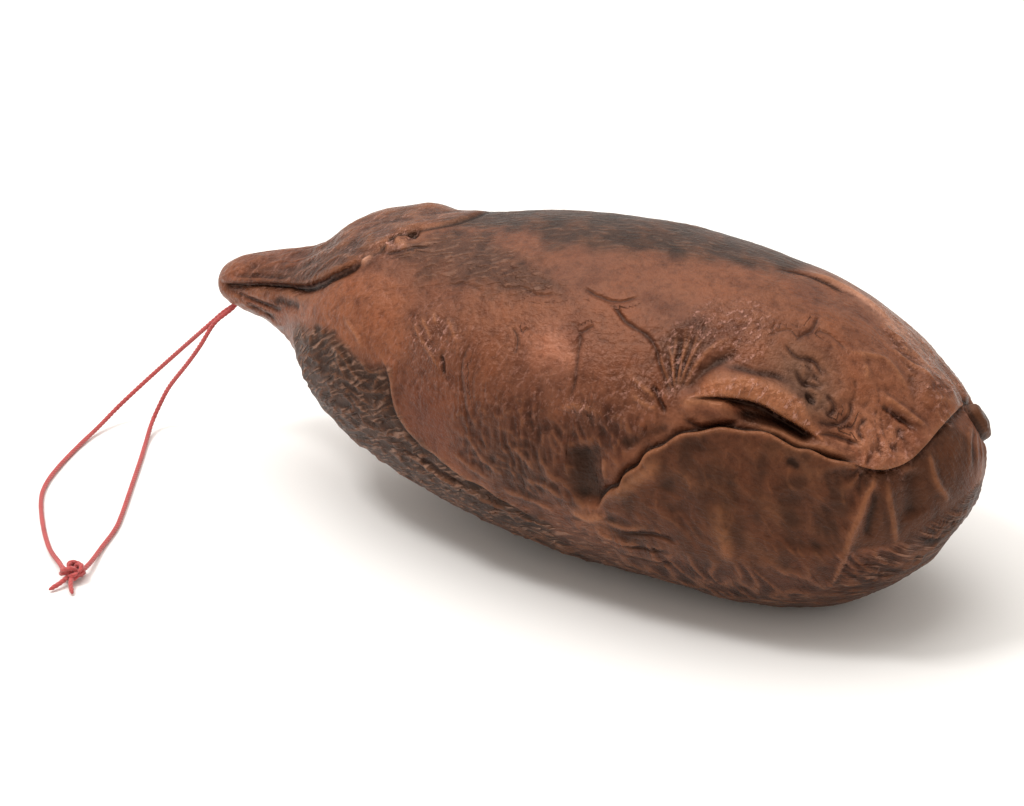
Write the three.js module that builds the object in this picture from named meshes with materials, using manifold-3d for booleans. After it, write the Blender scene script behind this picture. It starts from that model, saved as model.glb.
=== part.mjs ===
// Cured sausage: coarse meat in a natural blind-gut casing, smoked and dried, lying on its side.
// A loop of red twine is stitched through the underside of the casing's tip, and its two ends
// are tied in a knot. It is what the sausage hung by, and here it lies on the surface.
//
// Millimetres. +X runs from the tip of the neck to the blunt end, +Z is up, the casing's front
// is the -Y side, and the surface that the sausage lies on is z = 0.

import * as THREE from 'three';
import Module from 'manifold-3d';
import { mergeVertices } from 'three/addons/utils/BufferGeometryUtils.js';

const wasm = await Module();
wasm.setup();

// ---- driving dimensions ----

const NECK_LENGTH = 33.5; // tip to the shoulder, along X
const BODY_LENGTH = 212.5; // shoulder to the blunt end, along X
const BELLY_HEIGHT = 97; // largest height of the casing before it settles on the surface
const BELLY_WIDTH = 104; // largest width, across Y
const NECK_HEIGHT = 18; // height of the neck just behind the tip
const TIP_X = -125.5;
const SETTLED_DEPTH = 2; // how far the belly has flattened against the surface

const NUB_HEIGHT = 15; // dried knob of casing left on the blunt end
const NUB_WIDTH = 11;
const NUB_THICKNESS = 8;
const NUB_SUNK = 1; // how far the knob's middle lies inside the end
const NUB_BEHIND = 9; // how far it sits behind the middle of the end, along Y
const NUB_ABOVE = 4.5; // and above the belly's half height
const NUB_TILT = -14; // degrees about X

const TWINE_DIAMETER = 1.5;
const TWINE_CLEARANCE = 0.3; // all round the twine in the casing and in the knot
const STITCH_DEPTH = 4; // how far each strand goes up into the tip
const KNOT_WIDTH = 7.6;
const KNOT_LENGTH = 10;
const KNOT_HEIGHT = 6.6;
const TAIL_LENGTH = 5; // cut ends of the twine beyond the knot

// ---- how finely the solids are divided ----

const RINGS = 66;
const RING_SIDES = 44;
const TWINE_STEPS = 78;
const TWINE_SIDES = 8;

// ---- colours ----

const CASING_COLOUR = 0x7d4c35;
const TWINE_COLOUR = 0xc4514c;

// ---- small helpers ----

const rad = THREE.MathUtils.degToRad;
const SHOULDER_X = TIP_X + NECK_LENGTH;
const END_X = SHOULDER_X + BODY_LENGTH;
const HALF_HEIGHT = BELLY_HEIGHT / 2;
const WIDTH_TO_HEIGHT = BELLY_WIDTH / BELLY_HEIGHT;

function toSolid(geometry) {
  geometry.deleteAttribute('normal');
  geometry.deleteAttribute('uv');
  const merged = mergeVertices(geometry, 1e-4);
  const index = merged.index.array;
  const kept = [];
  for (let i = 0; i < index.length; i += 3) {
    const [a, b, c] = index.slice(i, i + 3);
    if (a !== b && b !== c && c !== a) kept.push(a, b, c);
  }
  const mesh = new wasm.Mesh({
    numProp: 3,
    vertProperties: new Float32Array(merged.attributes.position.array),
    triVerts: new Uint32Array(kept),
  });
  return new wasm.Manifold(mesh);
}

function toGeometry(solid) {
  const mesh = solid.getMesh();
  const geometry = new THREE.BufferGeometry();
  geometry.setAttribute('position', new THREE.BufferAttribute(mesh.vertProperties, 3));
  geometry.setIndex(new THREE.BufferAttribute(mesh.triVerts, 1));
  geometry.computeVertexNormals();
  return geometry;
}

function part(name, solid, colour, roughness) {
  const material = new THREE.MeshStandardMaterial({ color: colour, roughness, metalness: 0 });
  const mesh = new THREE.Mesh(toGeometry(solid), material);
  mesh.name = name;
  return mesh;
}

// ---- outline of the casing ----

const TIP_CENTRE = 1.135; // height of the tip's centre, as a share of the belly's half height
const TIP_HALF = 0.78; // half height of the tip where the twine goes in, as a share of the neck's

// The neck's rings: distance from the tip as a share of the neck, height of the ring's centre
// as a share of the belly's half height, and the ring's half height as a share of the neck's.
const NECK_RINGS = [
  [0, TIP_CENTRE, 0],
  [0.02, TIP_CENTRE, 0.47],
  [0.13, TIP_CENTRE, TIP_HALF],
  [0.37, 1.155, 1.0],
  [0.67, 1.165, 1.28],
  [1.0, 1.145, 1.78],
];

// The body's rings: distance from the shoulder as a share of the body, height of the centre and
// half height, both as shares of the belly's half height.
const BODY_RINGS = [
  [0.045, 1.105, 0.48],
  [0.09, 1.085, 0.62],
  [0.16, 1.06, 0.745],
  [0.255, 1.03, 0.845],
  [0.375, 1.03, 0.95],
  [0.52, 1.02, 1.0],
  [0.65, 0.99, 0.99],
  [0.76, 0.95, 0.93],
  [0.855, 0.91, 0.785],
  [0.925, 0.92, 0.58],
  [0.97, 0.96, 0.35],
  [0.993, 0.98, 0.16],
  [1.0, 0.98, 0],
];

const OUTLINE = [
  ...NECK_RINGS.map(([along, centre, half]) => ({
    x: TIP_X + along * NECK_LENGTH,
    centre: centre * HALF_HEIGHT,
    half: (half * NECK_HEIGHT) / 2,
  })),
  ...BODY_RINGS.map(([along, centre, half]) => ({
    x: SHOULDER_X + along * BODY_LENGTH,
    centre: centre * HALF_HEIGHT,
    half: half * HALF_HEIGHT,
  })),
];

const centreLine = new THREE.CubicInterpolant(
  OUTLINE.map((ring) => ring.x),
  OUTLINE.map((ring) => ring.centre),
  1,
);

// Height of the rings' centre at a place along the sausage.
function centreHeight(x) {
  return centreLine.evaluate(THREE.MathUtils.clamp(x, TIP_X, END_X))[0];
}

// ---- folds of the casing ----

// Each fold follows a few points on the skin: [x, degrees down from the top towards the front].
// height is how far the skin stands out along it (inwards if negative), spread is its half width.
const FOLDS = [
  { name: 'neck groove', height: -3.5, spread: 4, along: [[-119, 64], [-98, 56], [-80, 48], [-62, 33]] },
  { name: 'top flap', height: 2.2, spread: 9, along: [[-80, -12], [-66, 0], [-52, -6], [-38, -22]] },
  { name: 'pucker', height: -4, spread: 7, along: [[62, 40], [55, 54], [50, 61]] },
  { name: 'upper lip', height: 4, spread: 7, along: [[55, 54], [64, 49], [76, 50], [87, 54]] },
  { name: 'lip slit', height: -4, spread: 6, along: [[52, 63], [64, 62], [75, 57], [88, 57]] },
  { name: 'hollow', height: -5, spread: 10, along: [[30, 92], [36, 82]] },
  { name: 'lid edge', height: 2.5, spread: 6, along: [[38, 98], [48, 80], [62, 68], [76, 64], [98, 66]] },
  { name: 'corner ridge', height: 2.5, spread: 5, along: [[102, 64], [101, 84], [96, 112]] },
  { name: 'end hollow', height: -3, spread: 9, along: [[109, 66], [109, 100]] },
  { name: 'end ridge', height: 2, spread: 4, along: [[112, 36], [115, 58], [117, 100]] },
];

// Folds fade out where the rings close, at the tip and at the blunt end.
const FADE_FROM = 4; // half height of the ring in millimetres
const FADE_TO = 12;

function distanceAlong(points, here) {
  let nearest = Infinity;
  for (let i = 1; i < points.length; i += 1) {
    const stretch = new THREE.Line3(points[i - 1], points[i]);
    const place = stretch.closestPointToPoint(here, true, new THREE.Vector3());
    nearest = Math.min(nearest, place.distanceTo(here));
  }
  return nearest;
}

// The skin's height at a place, from every fold near it. Degrees become millimetres round the ring.
function foldHeight(x, degrees, half) {
  const perDegree = rad(half);
  const here = new THREE.Vector3(x, degrees * perDegree, 0);
  let height = 0;
  for (const fold of FOLDS) {
    const points = fold.along.map(([foldX, angle]) => new THREE.Vector3(foldX, angle * perDegree, 0));
    const distance = distanceAlong(points, here);
    height += fold.height * Math.exp(-((distance / fold.spread) ** 2));
  }
  return height * THREE.MathUtils.smoothstep(half, FADE_FROM, FADE_TO);
}

// ---- the sausage ----

// A lathe gives the rings; each is then moved to its centre, widened and folded.
function casingSkin() {
  const curve = new THREE.SplineCurve(OUTLINE.map((ring) => new THREE.Vector2(ring.half, ring.x)));
  const profile = curve.getSpacedPoints(RINGS);
  profile.forEach((point) => {
    point.x = Math.max(point.x, 0);
  });
  const geometry = new THREE.LatheGeometry(profile, RING_SIDES);
  const place = geometry.attributes.position;
  for (let i = 0; i < place.count; i += 1) {
    const across = place.getX(i);
    const x = place.getY(i);
    const up = place.getZ(i);
    const half = Math.hypot(across, up);
    const degrees = THREE.MathUtils.radToDeg(Math.atan2(across, up));
    const scale = half > 0 ? 1 + foldHeight(x, degrees, half) / half : 1;
    place.setXYZ(i, x, -across * scale * WIDTH_TO_HEIGHT, centreHeight(x) + up * scale);
  }
  return toSolid(geometry);
}

// The nub is a flattened knob half sunk in the end, above and behind its middle.
function nub() {
  const knob = new THREE.SphereGeometry(0.5, 16, 10);
  knob.scale(NUB_THICKNESS, NUB_WIDTH, NUB_HEIGHT);
  knob.rotateX(rad(NUB_TILT));
  knob.translate(END_X - NUB_SUNK, NUB_BEHIND, HALF_HEIGHT + NUB_ABOVE);
  return toSolid(knob);
}

function surfaceBelow() {
  const block = new THREE.BoxGeometry(3 * BODY_LENGTH, 3 * BELLY_WIDTH, BELLY_HEIGHT);
  block.translate(0, 0, -BELLY_HEIGHT / 2);
  return toSolid(block);
}

// ---- the twine ----

// The loop starts inside the tip, hangs to the surface, lies along it to the knot, and comes back
// up to the tip beside its start. Its points are [x, y, z]; the first and last three hang from the
// tip, so they are measured from the stitch, and the rest lie where the loop was dropped.
const TIP_UNDERSIDE = TIP_CENTRE * HALF_HEIGHT - (TIP_HALF * NECK_HEIGHT) / 2 - SETTLED_DEPTH;
const STITCH = [TIP_X + 5.5, 0, TIP_UNDERSIDE];
const STRAND_START = [[-1.6, 0, STITCH_DEPTH], [-1.8, -0.2, -0.6], [-5.3, -2, -3.9]];
const STRAND_END = [[-5.2, -6.6, -5.6], [-1.2, -2.2, -1.2], [2, -0.6, STITCH_DEPTH]];
const LAID = 0.6 * TWINE_DIAMETER; // height of the twine's middle where it lies on the surface
const ROUTE = [
  [-130.8, -4, 36.5],
  [-142, -2.5, 26],
  [-153, -4, 15],
  [-160, -11, 6.5],
  [-161.8, -20, 2.2],
  [-160.5, -32, LAID],
  [-157, -46, LAID],
  [-153, -57.5, LAID],
  [-147.5, -67, LAID],
  [-137, -79.5, LAID],
  [-126, -90.5, 1.2],
  [-117, -97.5, 2.2],
  [-111.5, -101.5, 3.1],
  [-107.5, -100, 3.1],
  [-108.5, -94.5, 2.4],
  [-113, -83, 1.1],
  [-116.8, -71.5, LAID],
  [-121, -62.5, LAID],
  [-130, -45.5, LAID],
  [-138, -30.5, LAID],
  [-144.5, -18.5, 1.2],
  [-147.5, -11.5, 3.5],
  [-147, -8, 8],
  [-143.5, -6.8, 15],
  [-135.5, -7.5, 25],
  [-130.3, -7.8, 32],
];

function twinePath() {
  const fromStitch = (points) => points.map((point) => point.map((value, i) => value + STITCH[i]));
  const points = [...fromStitch(STRAND_START), ...ROUTE, ...fromStitch(STRAND_END)];
  return new THREE.CatmullRomCurve3(points.map((point) => new THREE.Vector3(...point)));
}

function tube(path, diameter, steps, sides) {
  const ring = new THREE.Shape();
  for (let i = 0; i < sides; i += 1) {
    const angle = (i / sides) * 2 * Math.PI;
    const at = [(diameter / 2) * Math.cos(angle), (diameter / 2) * Math.sin(angle)];
    if (i === 0) ring.moveTo(...at);
    else ring.lineTo(...at);
  }
  ring.closePath();
  const options = { steps, extrudePath: path, bevelEnabled: false, curveSegments: 1 };
  return toSolid(new THREE.ExtrudeGeometry(ring, options));
}

// What the casing and the knot leave free for the twine: a wider tube, with round ends.
function roomFor(path) {
  const diameter = TWINE_DIAMETER + 2 * TWINE_CLEARANCE;
  let room = tube(path, diameter, TWINE_STEPS, TWINE_SIDES);
  for (const end of [path.getPoint(0), path.getPoint(1)]) {
    const cap = new THREE.SphereGeometry(diameter / 2, TWINE_SIDES, TWINE_SIDES / 2);
    cap.translate(end.x, end.y, end.z);
    room = room.add(toSolid(cap));
  }
  return room;
}

// ---- the knot ----

const KNOT_CENTRE = [-109, -101, KNOT_HEIGHT / 2];
const KNOT_TURN = -20; // degrees about Z
const TAIL_TURNS = [-100, -55]; // degrees from +X that the two cut ends point in

function knot() {
  const lump = new THREE.SphereGeometry(0.5, 14, 10);
  lump.scale(KNOT_WIDTH, KNOT_LENGTH, KNOT_HEIGHT);
  lump.rotateZ(rad(KNOT_TURN));
  lump.translate(...KNOT_CENTRE);
  let solid = toSolid(lump);
  for (const turn of TAIL_TURNS) {
    const along = new THREE.Vector3(Math.cos(rad(turn)), Math.sin(rad(turn)), 0);
    const from = new THREE.Vector3(...KNOT_CENTRE).addScaledVector(along, KNOT_LENGTH / 4);
    const to = from.clone().addScaledVector(along, KNOT_LENGTH / 4 + TAIL_LENGTH);
    to.z = LAID;
    solid = solid.add(tube(new THREE.LineCurve3(from, to), TWINE_DIAMETER, 1, TWINE_SIDES));
  }
  return solid;
}

// ---- assembly ----

const path = twinePath();
const twine = tube(path, TWINE_DIAMETER, TWINE_STEPS, TWINE_SIDES);
const twineRoom = roomFor(path);

const sausage = casingSkin()
  .add(nub())
  .translate([0, 0, -SETTLED_DEPTH])
  .subtract(surfaceBelow())
  .subtract(twineRoom);

const model = new THREE.Group();
model.add(part('sausage', sausage, CASING_COLOUR, 0.5));
model.add(part('hanging_string', twine, TWINE_COLOUR, 0.85));
model.add(part('string_knot', knot().subtract(twineRoom), TWINE_COLOUR, 0.85));

export default model;
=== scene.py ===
# %% [markdown]
# # A cured sausage, from its twine to its last wrinkle
# The object is coarse meat, hand-stuffed into a pig's blind gut, smoked and hung for months.
# It lies on its side. Its neck is folded, its belly has settled flat, and the loop of red
# twine that it hung by lies beside it. This lesson builds it round a fixed frame: the frame
# says where each part is and how large, and Blender gives the parts their skin and colour.

# %% The frame and its size
import math

import bpy
import numpy as np
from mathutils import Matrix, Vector, noise


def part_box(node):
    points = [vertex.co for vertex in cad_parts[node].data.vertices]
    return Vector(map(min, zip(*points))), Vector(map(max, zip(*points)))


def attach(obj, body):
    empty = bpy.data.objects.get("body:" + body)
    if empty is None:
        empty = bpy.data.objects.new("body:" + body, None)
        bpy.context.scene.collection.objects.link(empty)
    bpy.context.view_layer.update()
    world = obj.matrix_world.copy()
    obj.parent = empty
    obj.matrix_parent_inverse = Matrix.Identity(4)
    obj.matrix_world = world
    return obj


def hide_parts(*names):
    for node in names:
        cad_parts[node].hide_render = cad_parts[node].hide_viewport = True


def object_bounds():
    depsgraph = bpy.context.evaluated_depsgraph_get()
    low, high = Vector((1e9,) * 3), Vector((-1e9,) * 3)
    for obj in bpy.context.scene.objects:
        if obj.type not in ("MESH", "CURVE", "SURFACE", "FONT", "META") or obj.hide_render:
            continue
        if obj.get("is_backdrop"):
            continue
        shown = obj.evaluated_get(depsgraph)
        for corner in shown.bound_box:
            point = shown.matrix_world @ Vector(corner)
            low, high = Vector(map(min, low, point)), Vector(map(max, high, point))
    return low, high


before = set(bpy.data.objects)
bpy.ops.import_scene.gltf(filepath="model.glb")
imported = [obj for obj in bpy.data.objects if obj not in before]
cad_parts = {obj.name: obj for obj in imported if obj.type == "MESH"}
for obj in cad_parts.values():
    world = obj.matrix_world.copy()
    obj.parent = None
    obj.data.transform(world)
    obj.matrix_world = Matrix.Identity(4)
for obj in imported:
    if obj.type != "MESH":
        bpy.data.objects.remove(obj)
frame_low, frame_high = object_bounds()
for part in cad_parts:
    low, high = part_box(part)
    print(part, [round(1000 * size, 1) for size in high - low], "mm")

# %% [markdown]
# ## Units and colours
# The scene is in metres, but a sausage is easier to think of in millimetres, so sizes below
# are millimetres and one value turns them into metres. Colours are written as on a paint
# chart, in hex, and one function turns them into the linear values that a renderer adds up.

# %% Units and colours
MM = 0.001


def paint(code):
    channels = [int(code[i : i + 2], 16) / 255 for i in (1, 3, 5)]
    linear = [c / 12.92 if c <= 0.04045 else ((c + 0.055) / 1.055) ** 2.4 for c in channels]
    return (*linear, 1.0)


def deselect():
    if bpy.context.object and bpy.context.object.mode != "OBJECT":
        bpy.ops.object.mode_set(mode="OBJECT")
    bpy.ops.object.select_all(action="DESELECT")


print("mid brown is", [round(c, 3) for c in paint("#7d4c35")])

# %% [markdown]
# ## The camera
# A still life of food is usually taken with a long lens from a little above, so that near
# and far ends keep their true sizes. The camera stands to the blunt end's side of the front,
# and it is aimed at a point just behind the middle of the belly.

# %% The camera
CAMERA_AZIMUTH = 30
CAMERA_ELEVATION = 25
CAMERA_DISTANCE = 0.850
CAMERA_TARGET = Vector((-0.022, -0.004, 0.0365))
CAMERA_LENS = 103

azimuth = math.radians(CAMERA_AZIMUTH)
elevation = math.radians(CAMERA_ELEVATION)
away = Vector(
    (
        math.sin(azimuth) * math.cos(elevation),
        -math.cos(azimuth) * math.cos(elevation),
        math.sin(elevation),
    )
)
camera_data = bpy.data.cameras.new("still_life_camera")
camera_data.lens = CAMERA_LENS
camera_data.sensor_width = 36
camera = bpy.data.objects.new("still_life_camera", camera_data)
camera.location = CAMERA_TARGET + away * CAMERA_DISTANCE
camera.rotation_euler = (-away).to_track_quat("-Z", "Y").to_euler()
bpy.context.scene.collection.objects.link(camera)
bpy.context.scene.camera = camera
print("camera stands at", [round(c, 3) for c in camera.location])

# %% [markdown]
# ## Smooth lines through a few points
# The twine, the outline and every fold of the skin follow a line that is given by a few
# points. A Catmull-Rom spline passes through all of its points and is easy to write, so the
# same small function serves for all of them.


# %% Smooth lines
def smooth_line(points, steps):
    """Points on a smooth line through the given ones, steps to each stretch."""
    p = np.array(points, float)
    p = np.vstack([2 * p[0] - p[1], p, 2 * p[-1] - p[-2]])
    made = []
    for i in range(1, len(p) - 2):
        a, b, c, d = p[i - 1 : i + 3]
        for t in np.arange(steps) / steps:
            curve = (2 * a - 5 * b + 4 * c - d) * t**2 + (3 * b - a - 3 * c + d) * t**3
            made.append(b + 0.5 * ((c - a) * t + curve))
    return np.array([*made, p[-2]])


def line_length(line):
    return float(np.linalg.norm(np.diff(line, axis=0), axis=1).sum())


square_corner = smooth_line([(0, 0), (1, 0), (1, 1)], 12)
print("a smooth line round a square corner is", round(line_length(square_corner), 2), "long")

# %% [markdown]
# ## The twine's route
# The twine comes first, because it decides how much room the model takes. It is one length
# of butcher's twine, about 1.5 mm thick. It starts inside the casing's tip, drops to the
# table, lies along it to the knot, and comes back up to the tip beside its start. Limp twine
# has no stiffness to hold a sharp bend or to stand in the air, so the route is one easy
# curve. It repeats the points that the frame's own twine was made from.

# %% The twine's route
TWINE_DIAMETER = 1.5
LAID = 0.9
TWINE_POINTS = [
    (-121.6, 0, 50.0),
    (-121.8, -0.2, 45.4),
    (-125.3, -2, 42.1),
    (-130.8, -4, 36.5),
    (-142, -2.5, 26),
    (-153, -4, 15),
    (-160, -11, 6.5),
    (-161.8, -20, 2.2),
    (-160.5, -32, LAID),
    (-157, -46, LAID),
    (-153, -57.5, LAID),
    (-147.5, -67, LAID),
    (-137, -79.5, LAID),
    (-126, -90.5, 1.2),
    (-117, -97.5, 2.2),
    (-111.5, -101.5, 3.1),
    (-107.5, -100, 3.1),
    (-108.5, -94.5, 2.4),
    (-113, -83, 1.1),
    (-116.8, -71.5, LAID),
    (-121, -62.5, LAID),
    (-130, -45.5, LAID),
    (-138, -30.5, LAID),
    (-144.5, -18.5, 1.2),
    (-147.5, -11.5, 3.5),
    (-147, -8, 8),
    (-143.5, -6.8, 15),
    (-135.5, -7.5, 25),
    (-130.3, -7.8, 32),
    (-125.2, -6.6, 40.4),
    (-121.2, -2.2, 44.8),
    (-118, -0.6, 50.0),
]
twine_line = smooth_line(TWINE_POINTS, 30)
twine_line[:, 2] = np.maximum(twine_line[:, 2], 0.54 * TWINE_DIAMETER)
TWINE_LENGTH = line_length(twine_line)
print("twine is", round(TWINE_LENGTH), "mm long")

# %% [markdown]
# ## Twisted twine as a mesh
# Real twine is three plies twisted together. A round tube would lose the twist, and three
# separate tubes would be heavy. One tube with three lobes in its section, turned a little
# from ring to ring, shows the same ridges for a third of the faces. The section is carried
# along the line without turning of its own accord, and only the twist turns it. A UV map
# runs along and round the twine, for the fibres.

# %% Twisted twine as a mesh
PLIES = 3
SIDES_PER_PLY = 6
PLY_GROOVE = 0.24
TWIST_LENGTH = 4.2
RING_SPACING = 0.42


def even_points(line, spacing):
    steps = np.linalg.norm(np.diff(line, axis=0), axis=1)
    along = np.concatenate([[0], np.cumsum(steps)])
    places = np.linspace(0, along[-1], max(int(along[-1] / spacing), 4))
    return np.stack([np.interp(places, along, line[:, k]) for k in range(3)], 1), places


def carried_sides(line):
    """Two directions square to the line at each point, carried along it without twist."""
    tangent = np.gradient(line, axis=0)
    tangent /= np.linalg.norm(tangent, axis=1)[:, None]
    side = np.cross(tangent[0], (0.3, 0.2, 1.0))
    sides = []
    for t in tangent:
        side = side - t * (side @ t)
        side = side / np.linalg.norm(side)
        sides.append(side)
    sides = np.array(sides)
    return sides, np.cross(tangent, sides)


def twisted_twine(line, diameter):
    """Vertices, faces and UVs of twine along a line, in millimetres, with rounded ends."""
    line, places = even_points(line, RING_SPACING)
    first, second = carried_sides(line)
    count = PLIES * SIDES_PER_PLY
    around = np.arange(count) / count * 2 * np.pi
    lobes = 1 - PLY_GROOVE * (1 - np.abs(np.cos(around * PLIES / 2)))
    vertices, faces, uvs = [], [], []
    from_end = np.minimum(places, places[-1] - places)
    plump = np.sqrt(np.clip(from_end / diameter, 0, 1)) * 0.85 + 0.15
    for i, centre in enumerate(line):
        turned = around + places[i] / TWIST_LENGTH * 2 * np.pi
        slack = 1 + 0.05 * noise.noise((places[i] / 2.1, 3.1, 7.7))
        radius = diameter / 2 * lobes * plump[i] * slack
        across = np.outer(radius * np.cos(turned), first[i])
        vertices.append(centre + across + np.outer(radius * np.sin(turned), second[i]))
    for i in range(len(line) - 1):
        for j in range(count):
            k = (j + 1) % count
            faces.append((i * count + j, i * count + k, (i + 1) * count + k, (i + 1) * count + j))
            v0, v1 = places[i] / TWIST_LENGTH, places[i + 1] / TWIST_LENGTH
            uvs += [(j / count, v0), ((j + 1) / count, v0), ((j + 1) / count, v1), (j / count, v1)]
    for ring in (0, len(line) - 1):
        cap = [ring * count + j for j in range(count)]
        faces.append(tuple(reversed(cap)) if ring == 0 else tuple(cap))
        uvs += [(j / count, places[ring] / TWIST_LENGTH) for j in range(count)]
    return np.vstack(vertices), faces, uvs


print("one ring of twine has", PLIES * SIDES_PER_PLY, "points")

# %% [markdown]
# ## From lists to a mesh
# The twine has thousands of corners in a regular order, so they are worked out as lists, and
# from_pydata makes the mesh in one go. Edit mode then turns all faces outwards. The knot
# will be made of four such lines in one mesh, so the function takes several.


# %% From lists to a mesh
def mesh_from(name, parts):
    """One object from several sets of vertices, faces and UVs, given in millimetres."""
    vertices, faces, uvs, start = [], [], [], 0
    for part_vertices, part_faces, part_uvs in parts:
        vertices.append(part_vertices)
        faces += [tuple(start + corner for corner in face) for face in part_faces]
        uvs += part_uvs
        start += len(part_vertices)
    mesh = bpy.data.meshes.new(name)
    mesh.from_pydata((np.vstack(vertices) * MM).tolist(), [], faces)
    layer = mesh.uv_layers.new(name="fibres")
    layer.data.foreach_set("uv", np.array(uvs, np.float32).ravel())
    made = bpy.data.objects.new(name, mesh)
    bpy.context.scene.collection.objects.link(made)
    deselect()
    made.select_set(True)
    bpy.context.view_layer.objects.active = made
    bpy.ops.object.mode_set(mode="EDIT")
    bpy.ops.mesh.select_all(action="SELECT")
    bpy.ops.mesh.normals_make_consistent(inside=False)
    bpy.ops.object.mode_set(mode="OBJECT")
    bpy.ops.object.shade_smooth_by_angle(angle=math.radians(60))
    return made


twine = mesh_from("hanging_loop", [twisted_twine(twine_line, TWINE_DIAMETER)])
print("twine has", len(twine.data.polygons), "faces")

# %% [markdown]
# ## The knot
# The two ends are tied together in an overhand knot, which is the simplest stopper. Its
# shape is a trefoil: a line that goes twice round while it goes three times up and down.
# Both strands run side by side through it, so the same line is laid twice, a twine's width
# apart. The two cut ends come out of it and lie on the table.

# %% The knot
KNOT_CENTRE = np.array([-109.0, -101.0, 3.25])
KNOT_TURN = math.radians(-20)
KNOT_ACROSS = 1.95
KNOT_PLUMP = 0.95
STRAND_GAP = 0.62
TAIL_LENGTH = 9.5


def to_knot(points):
    """From the knot's own axes to the frame's."""
    p = np.array(points, float)
    c, s = math.cos(KNOT_TURN), math.sin(KNOT_TURN)
    turned = np.stack([p[:, 0] * c - p[:, 1] * s, p[:, 0] * s + p[:, 1] * c, p[:, 2]], 1)
    return turned + KNOT_CENTRE


def overhand(offset, squeeze):
    t = np.linspace(0, 2 * np.pi, 90)
    out = KNOT_ACROSS + KNOT_PLUMP * np.cos(3 * t)
    x = squeeze * out * np.cos(2 * t) + offset * 0.6
    y = 1.25 * squeeze * out * np.sin(2 * t) - offset * 0.4
    z = 1.15 * KNOT_PLUMP * np.sin(3 * t) + offset * 1.15
    return to_knot(np.stack([x, y, z], 1))


def tail(turn, sway):
    start = KNOT_CENTRE + np.array([0, 0, -0.3])
    out = np.array([math.cos(turn), math.sin(turn), 0])
    side = np.array([-out[1], out[0], 0])
    middle = start + out * TAIL_LENGTH * 0.55 + side * sway
    end = start + out * TAIL_LENGTH
    middle[2], end[2] = 1.9, LAID
    return smooth_line([start, middle, end], 12)


knot_strands = [
    overhand(-STRAND_GAP, 1.0),
    overhand(STRAND_GAP, 0.9),
    tail(math.radians(-100), 0.7),
    tail(math.radians(-55), -0.6),
]
knot = mesh_from("loop_knot", [twisted_twine(s, TWINE_DIAMETER) for s in knot_strands])
print("knot spans", [round(1000 * d, 1) for d in knot.dimensions], "mm")

# %% [markdown]
# ## A material is a chain of nodes
# In the shader editor one adds a node, types in its settings and draws its links. Here one
# small function does all three, for every kind of node. A plain value is typed into an
# input, and a socket is linked to it. Settings that come back often are named once.

# %% A node, its settings and its links
TIMES = {"operation": "MULTIPLY"}
TIMES_PLUS = {"operation": "MULTIPLY_ADD"}
WASH = {"data_type": "RGBA", "blend_type": "MULTIPLY"}
COVER = {"data_type": "RGBA", "blend_type": "MIX"}
STEP = {"interpolation_type": "SMOOTHSTEP"}
PER_CM = 100


def node(kind, settings, *values, out=None):
    """Adds a node and gives back its first output, or the one that is asked for by name.

    Settings are properties or named inputs. The other values fill the open inputs in order.
    """
    made = tree.nodes.new("ShaderNode" + kind)
    pairs = []
    for name, value in settings.items():
        if name == "stops":
            elements = made.color_ramp.elements
            while len(elements) < len(value):
                elements.new(0.5)
            for element, (position, code) in zip(elements, value):
                element.position = position
                element.color = paint(code)
        elif name in made.inputs:
            pairs.append((made.inputs[name], value))
        else:
            setattr(made, name, value)
    pairs += zip([socket for socket in made.inputs if socket.enabled], values)
    for socket, value in pairs:
        if isinstance(value, bpy.types.NodeSocket):
            tree.links.new(socket, value)
        else:
            socket.default_value = value
    outputs = [socket for socket in made.outputs if socket.enabled and out in (None, socket.name)]
    return outputs[0] if outputs else None


def new_material(name):
    material = bpy.data.materials.new(name)
    material.use_nodes = True
    material.node_tree.nodes.clear()
    return material, material.node_tree


print("a noise of scale", PER_CM, "has one cell to the centimetre")

# %% [markdown]
# ## Cotton twine, dyed red
# Cotton is matt, because its surface is thousands of fibres that scatter light. The dye is
# deeper in the grooves between the plies, where fibres shade each other, and rubbed paler
# on top. A fibre is about 0.02 mm thick, which is too fine to show, so it is drawn as a
# strand of 0.13 mm. Colour and bump follow the UV map, which turns with the twist.

# %% Cotton twine, dyed red
STRANDS_ROUND = 36
STRANDS_PER_TWIST = 9

cotton, tree = new_material("dyed_cotton_twine")
twine_uv = node("UVMap", {"uv_map": "fibres"})
strand_place = node(
    "Mapping", {"Vector": twine_uv, "Scale": (STRANDS_ROUND, STRANDS_PER_TWIST, 1)}
)
strands = node(
    "TexNoise", {"Vector": strand_place, "Scale": 1.0, "Detail": 3.0, "Roughness": 0.6}
)
in_space = node("TexCoord", {}, out="Object")
dye = node("TexNoise", {"Vector": in_space, "Scale": 1.6 * PER_CM, "Detail": 2.0})
reds = [(0.25, "#a8383a"), (0.5, "#c84f4d"), (0.75, "#dd7a72")]
strand_colour = node("ValToRGB", {"stops": reds}, strands)
dyed = node("Mix", WASH, 0.35, strand_colour, dye)
strand_bump = node("Bump", {"Strength": 0.7, "Distance": 0.12 * MM, "Height": strands})
cotton_shader = node(
    "BsdfPrincipled",
    {
        "Base Color": dyed,
        "Roughness": 0.9,
        "IOR": 1.5,
        "Sheen Weight": 0.35,
        "Sheen Roughness": 0.5,
        "Normal": strand_bump,
    },
)
node("OutputMaterial", {"Surface": cotton_shader})
twine.data.materials.append(cotton)
knot.data.materials.append(cotton)
print("the cotton has", len(tree.nodes), "nodes")

# %% [markdown]
# ## The twine in the frame's place
# The twine and the knot ride with the sausage and stand for the frame's plain ones, which
# are hidden.

for piece, stands_for in ((twine, "hanging_string"), (knot, "string_knot")):
    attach(piece, "root")
    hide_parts(stands_for)

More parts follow.
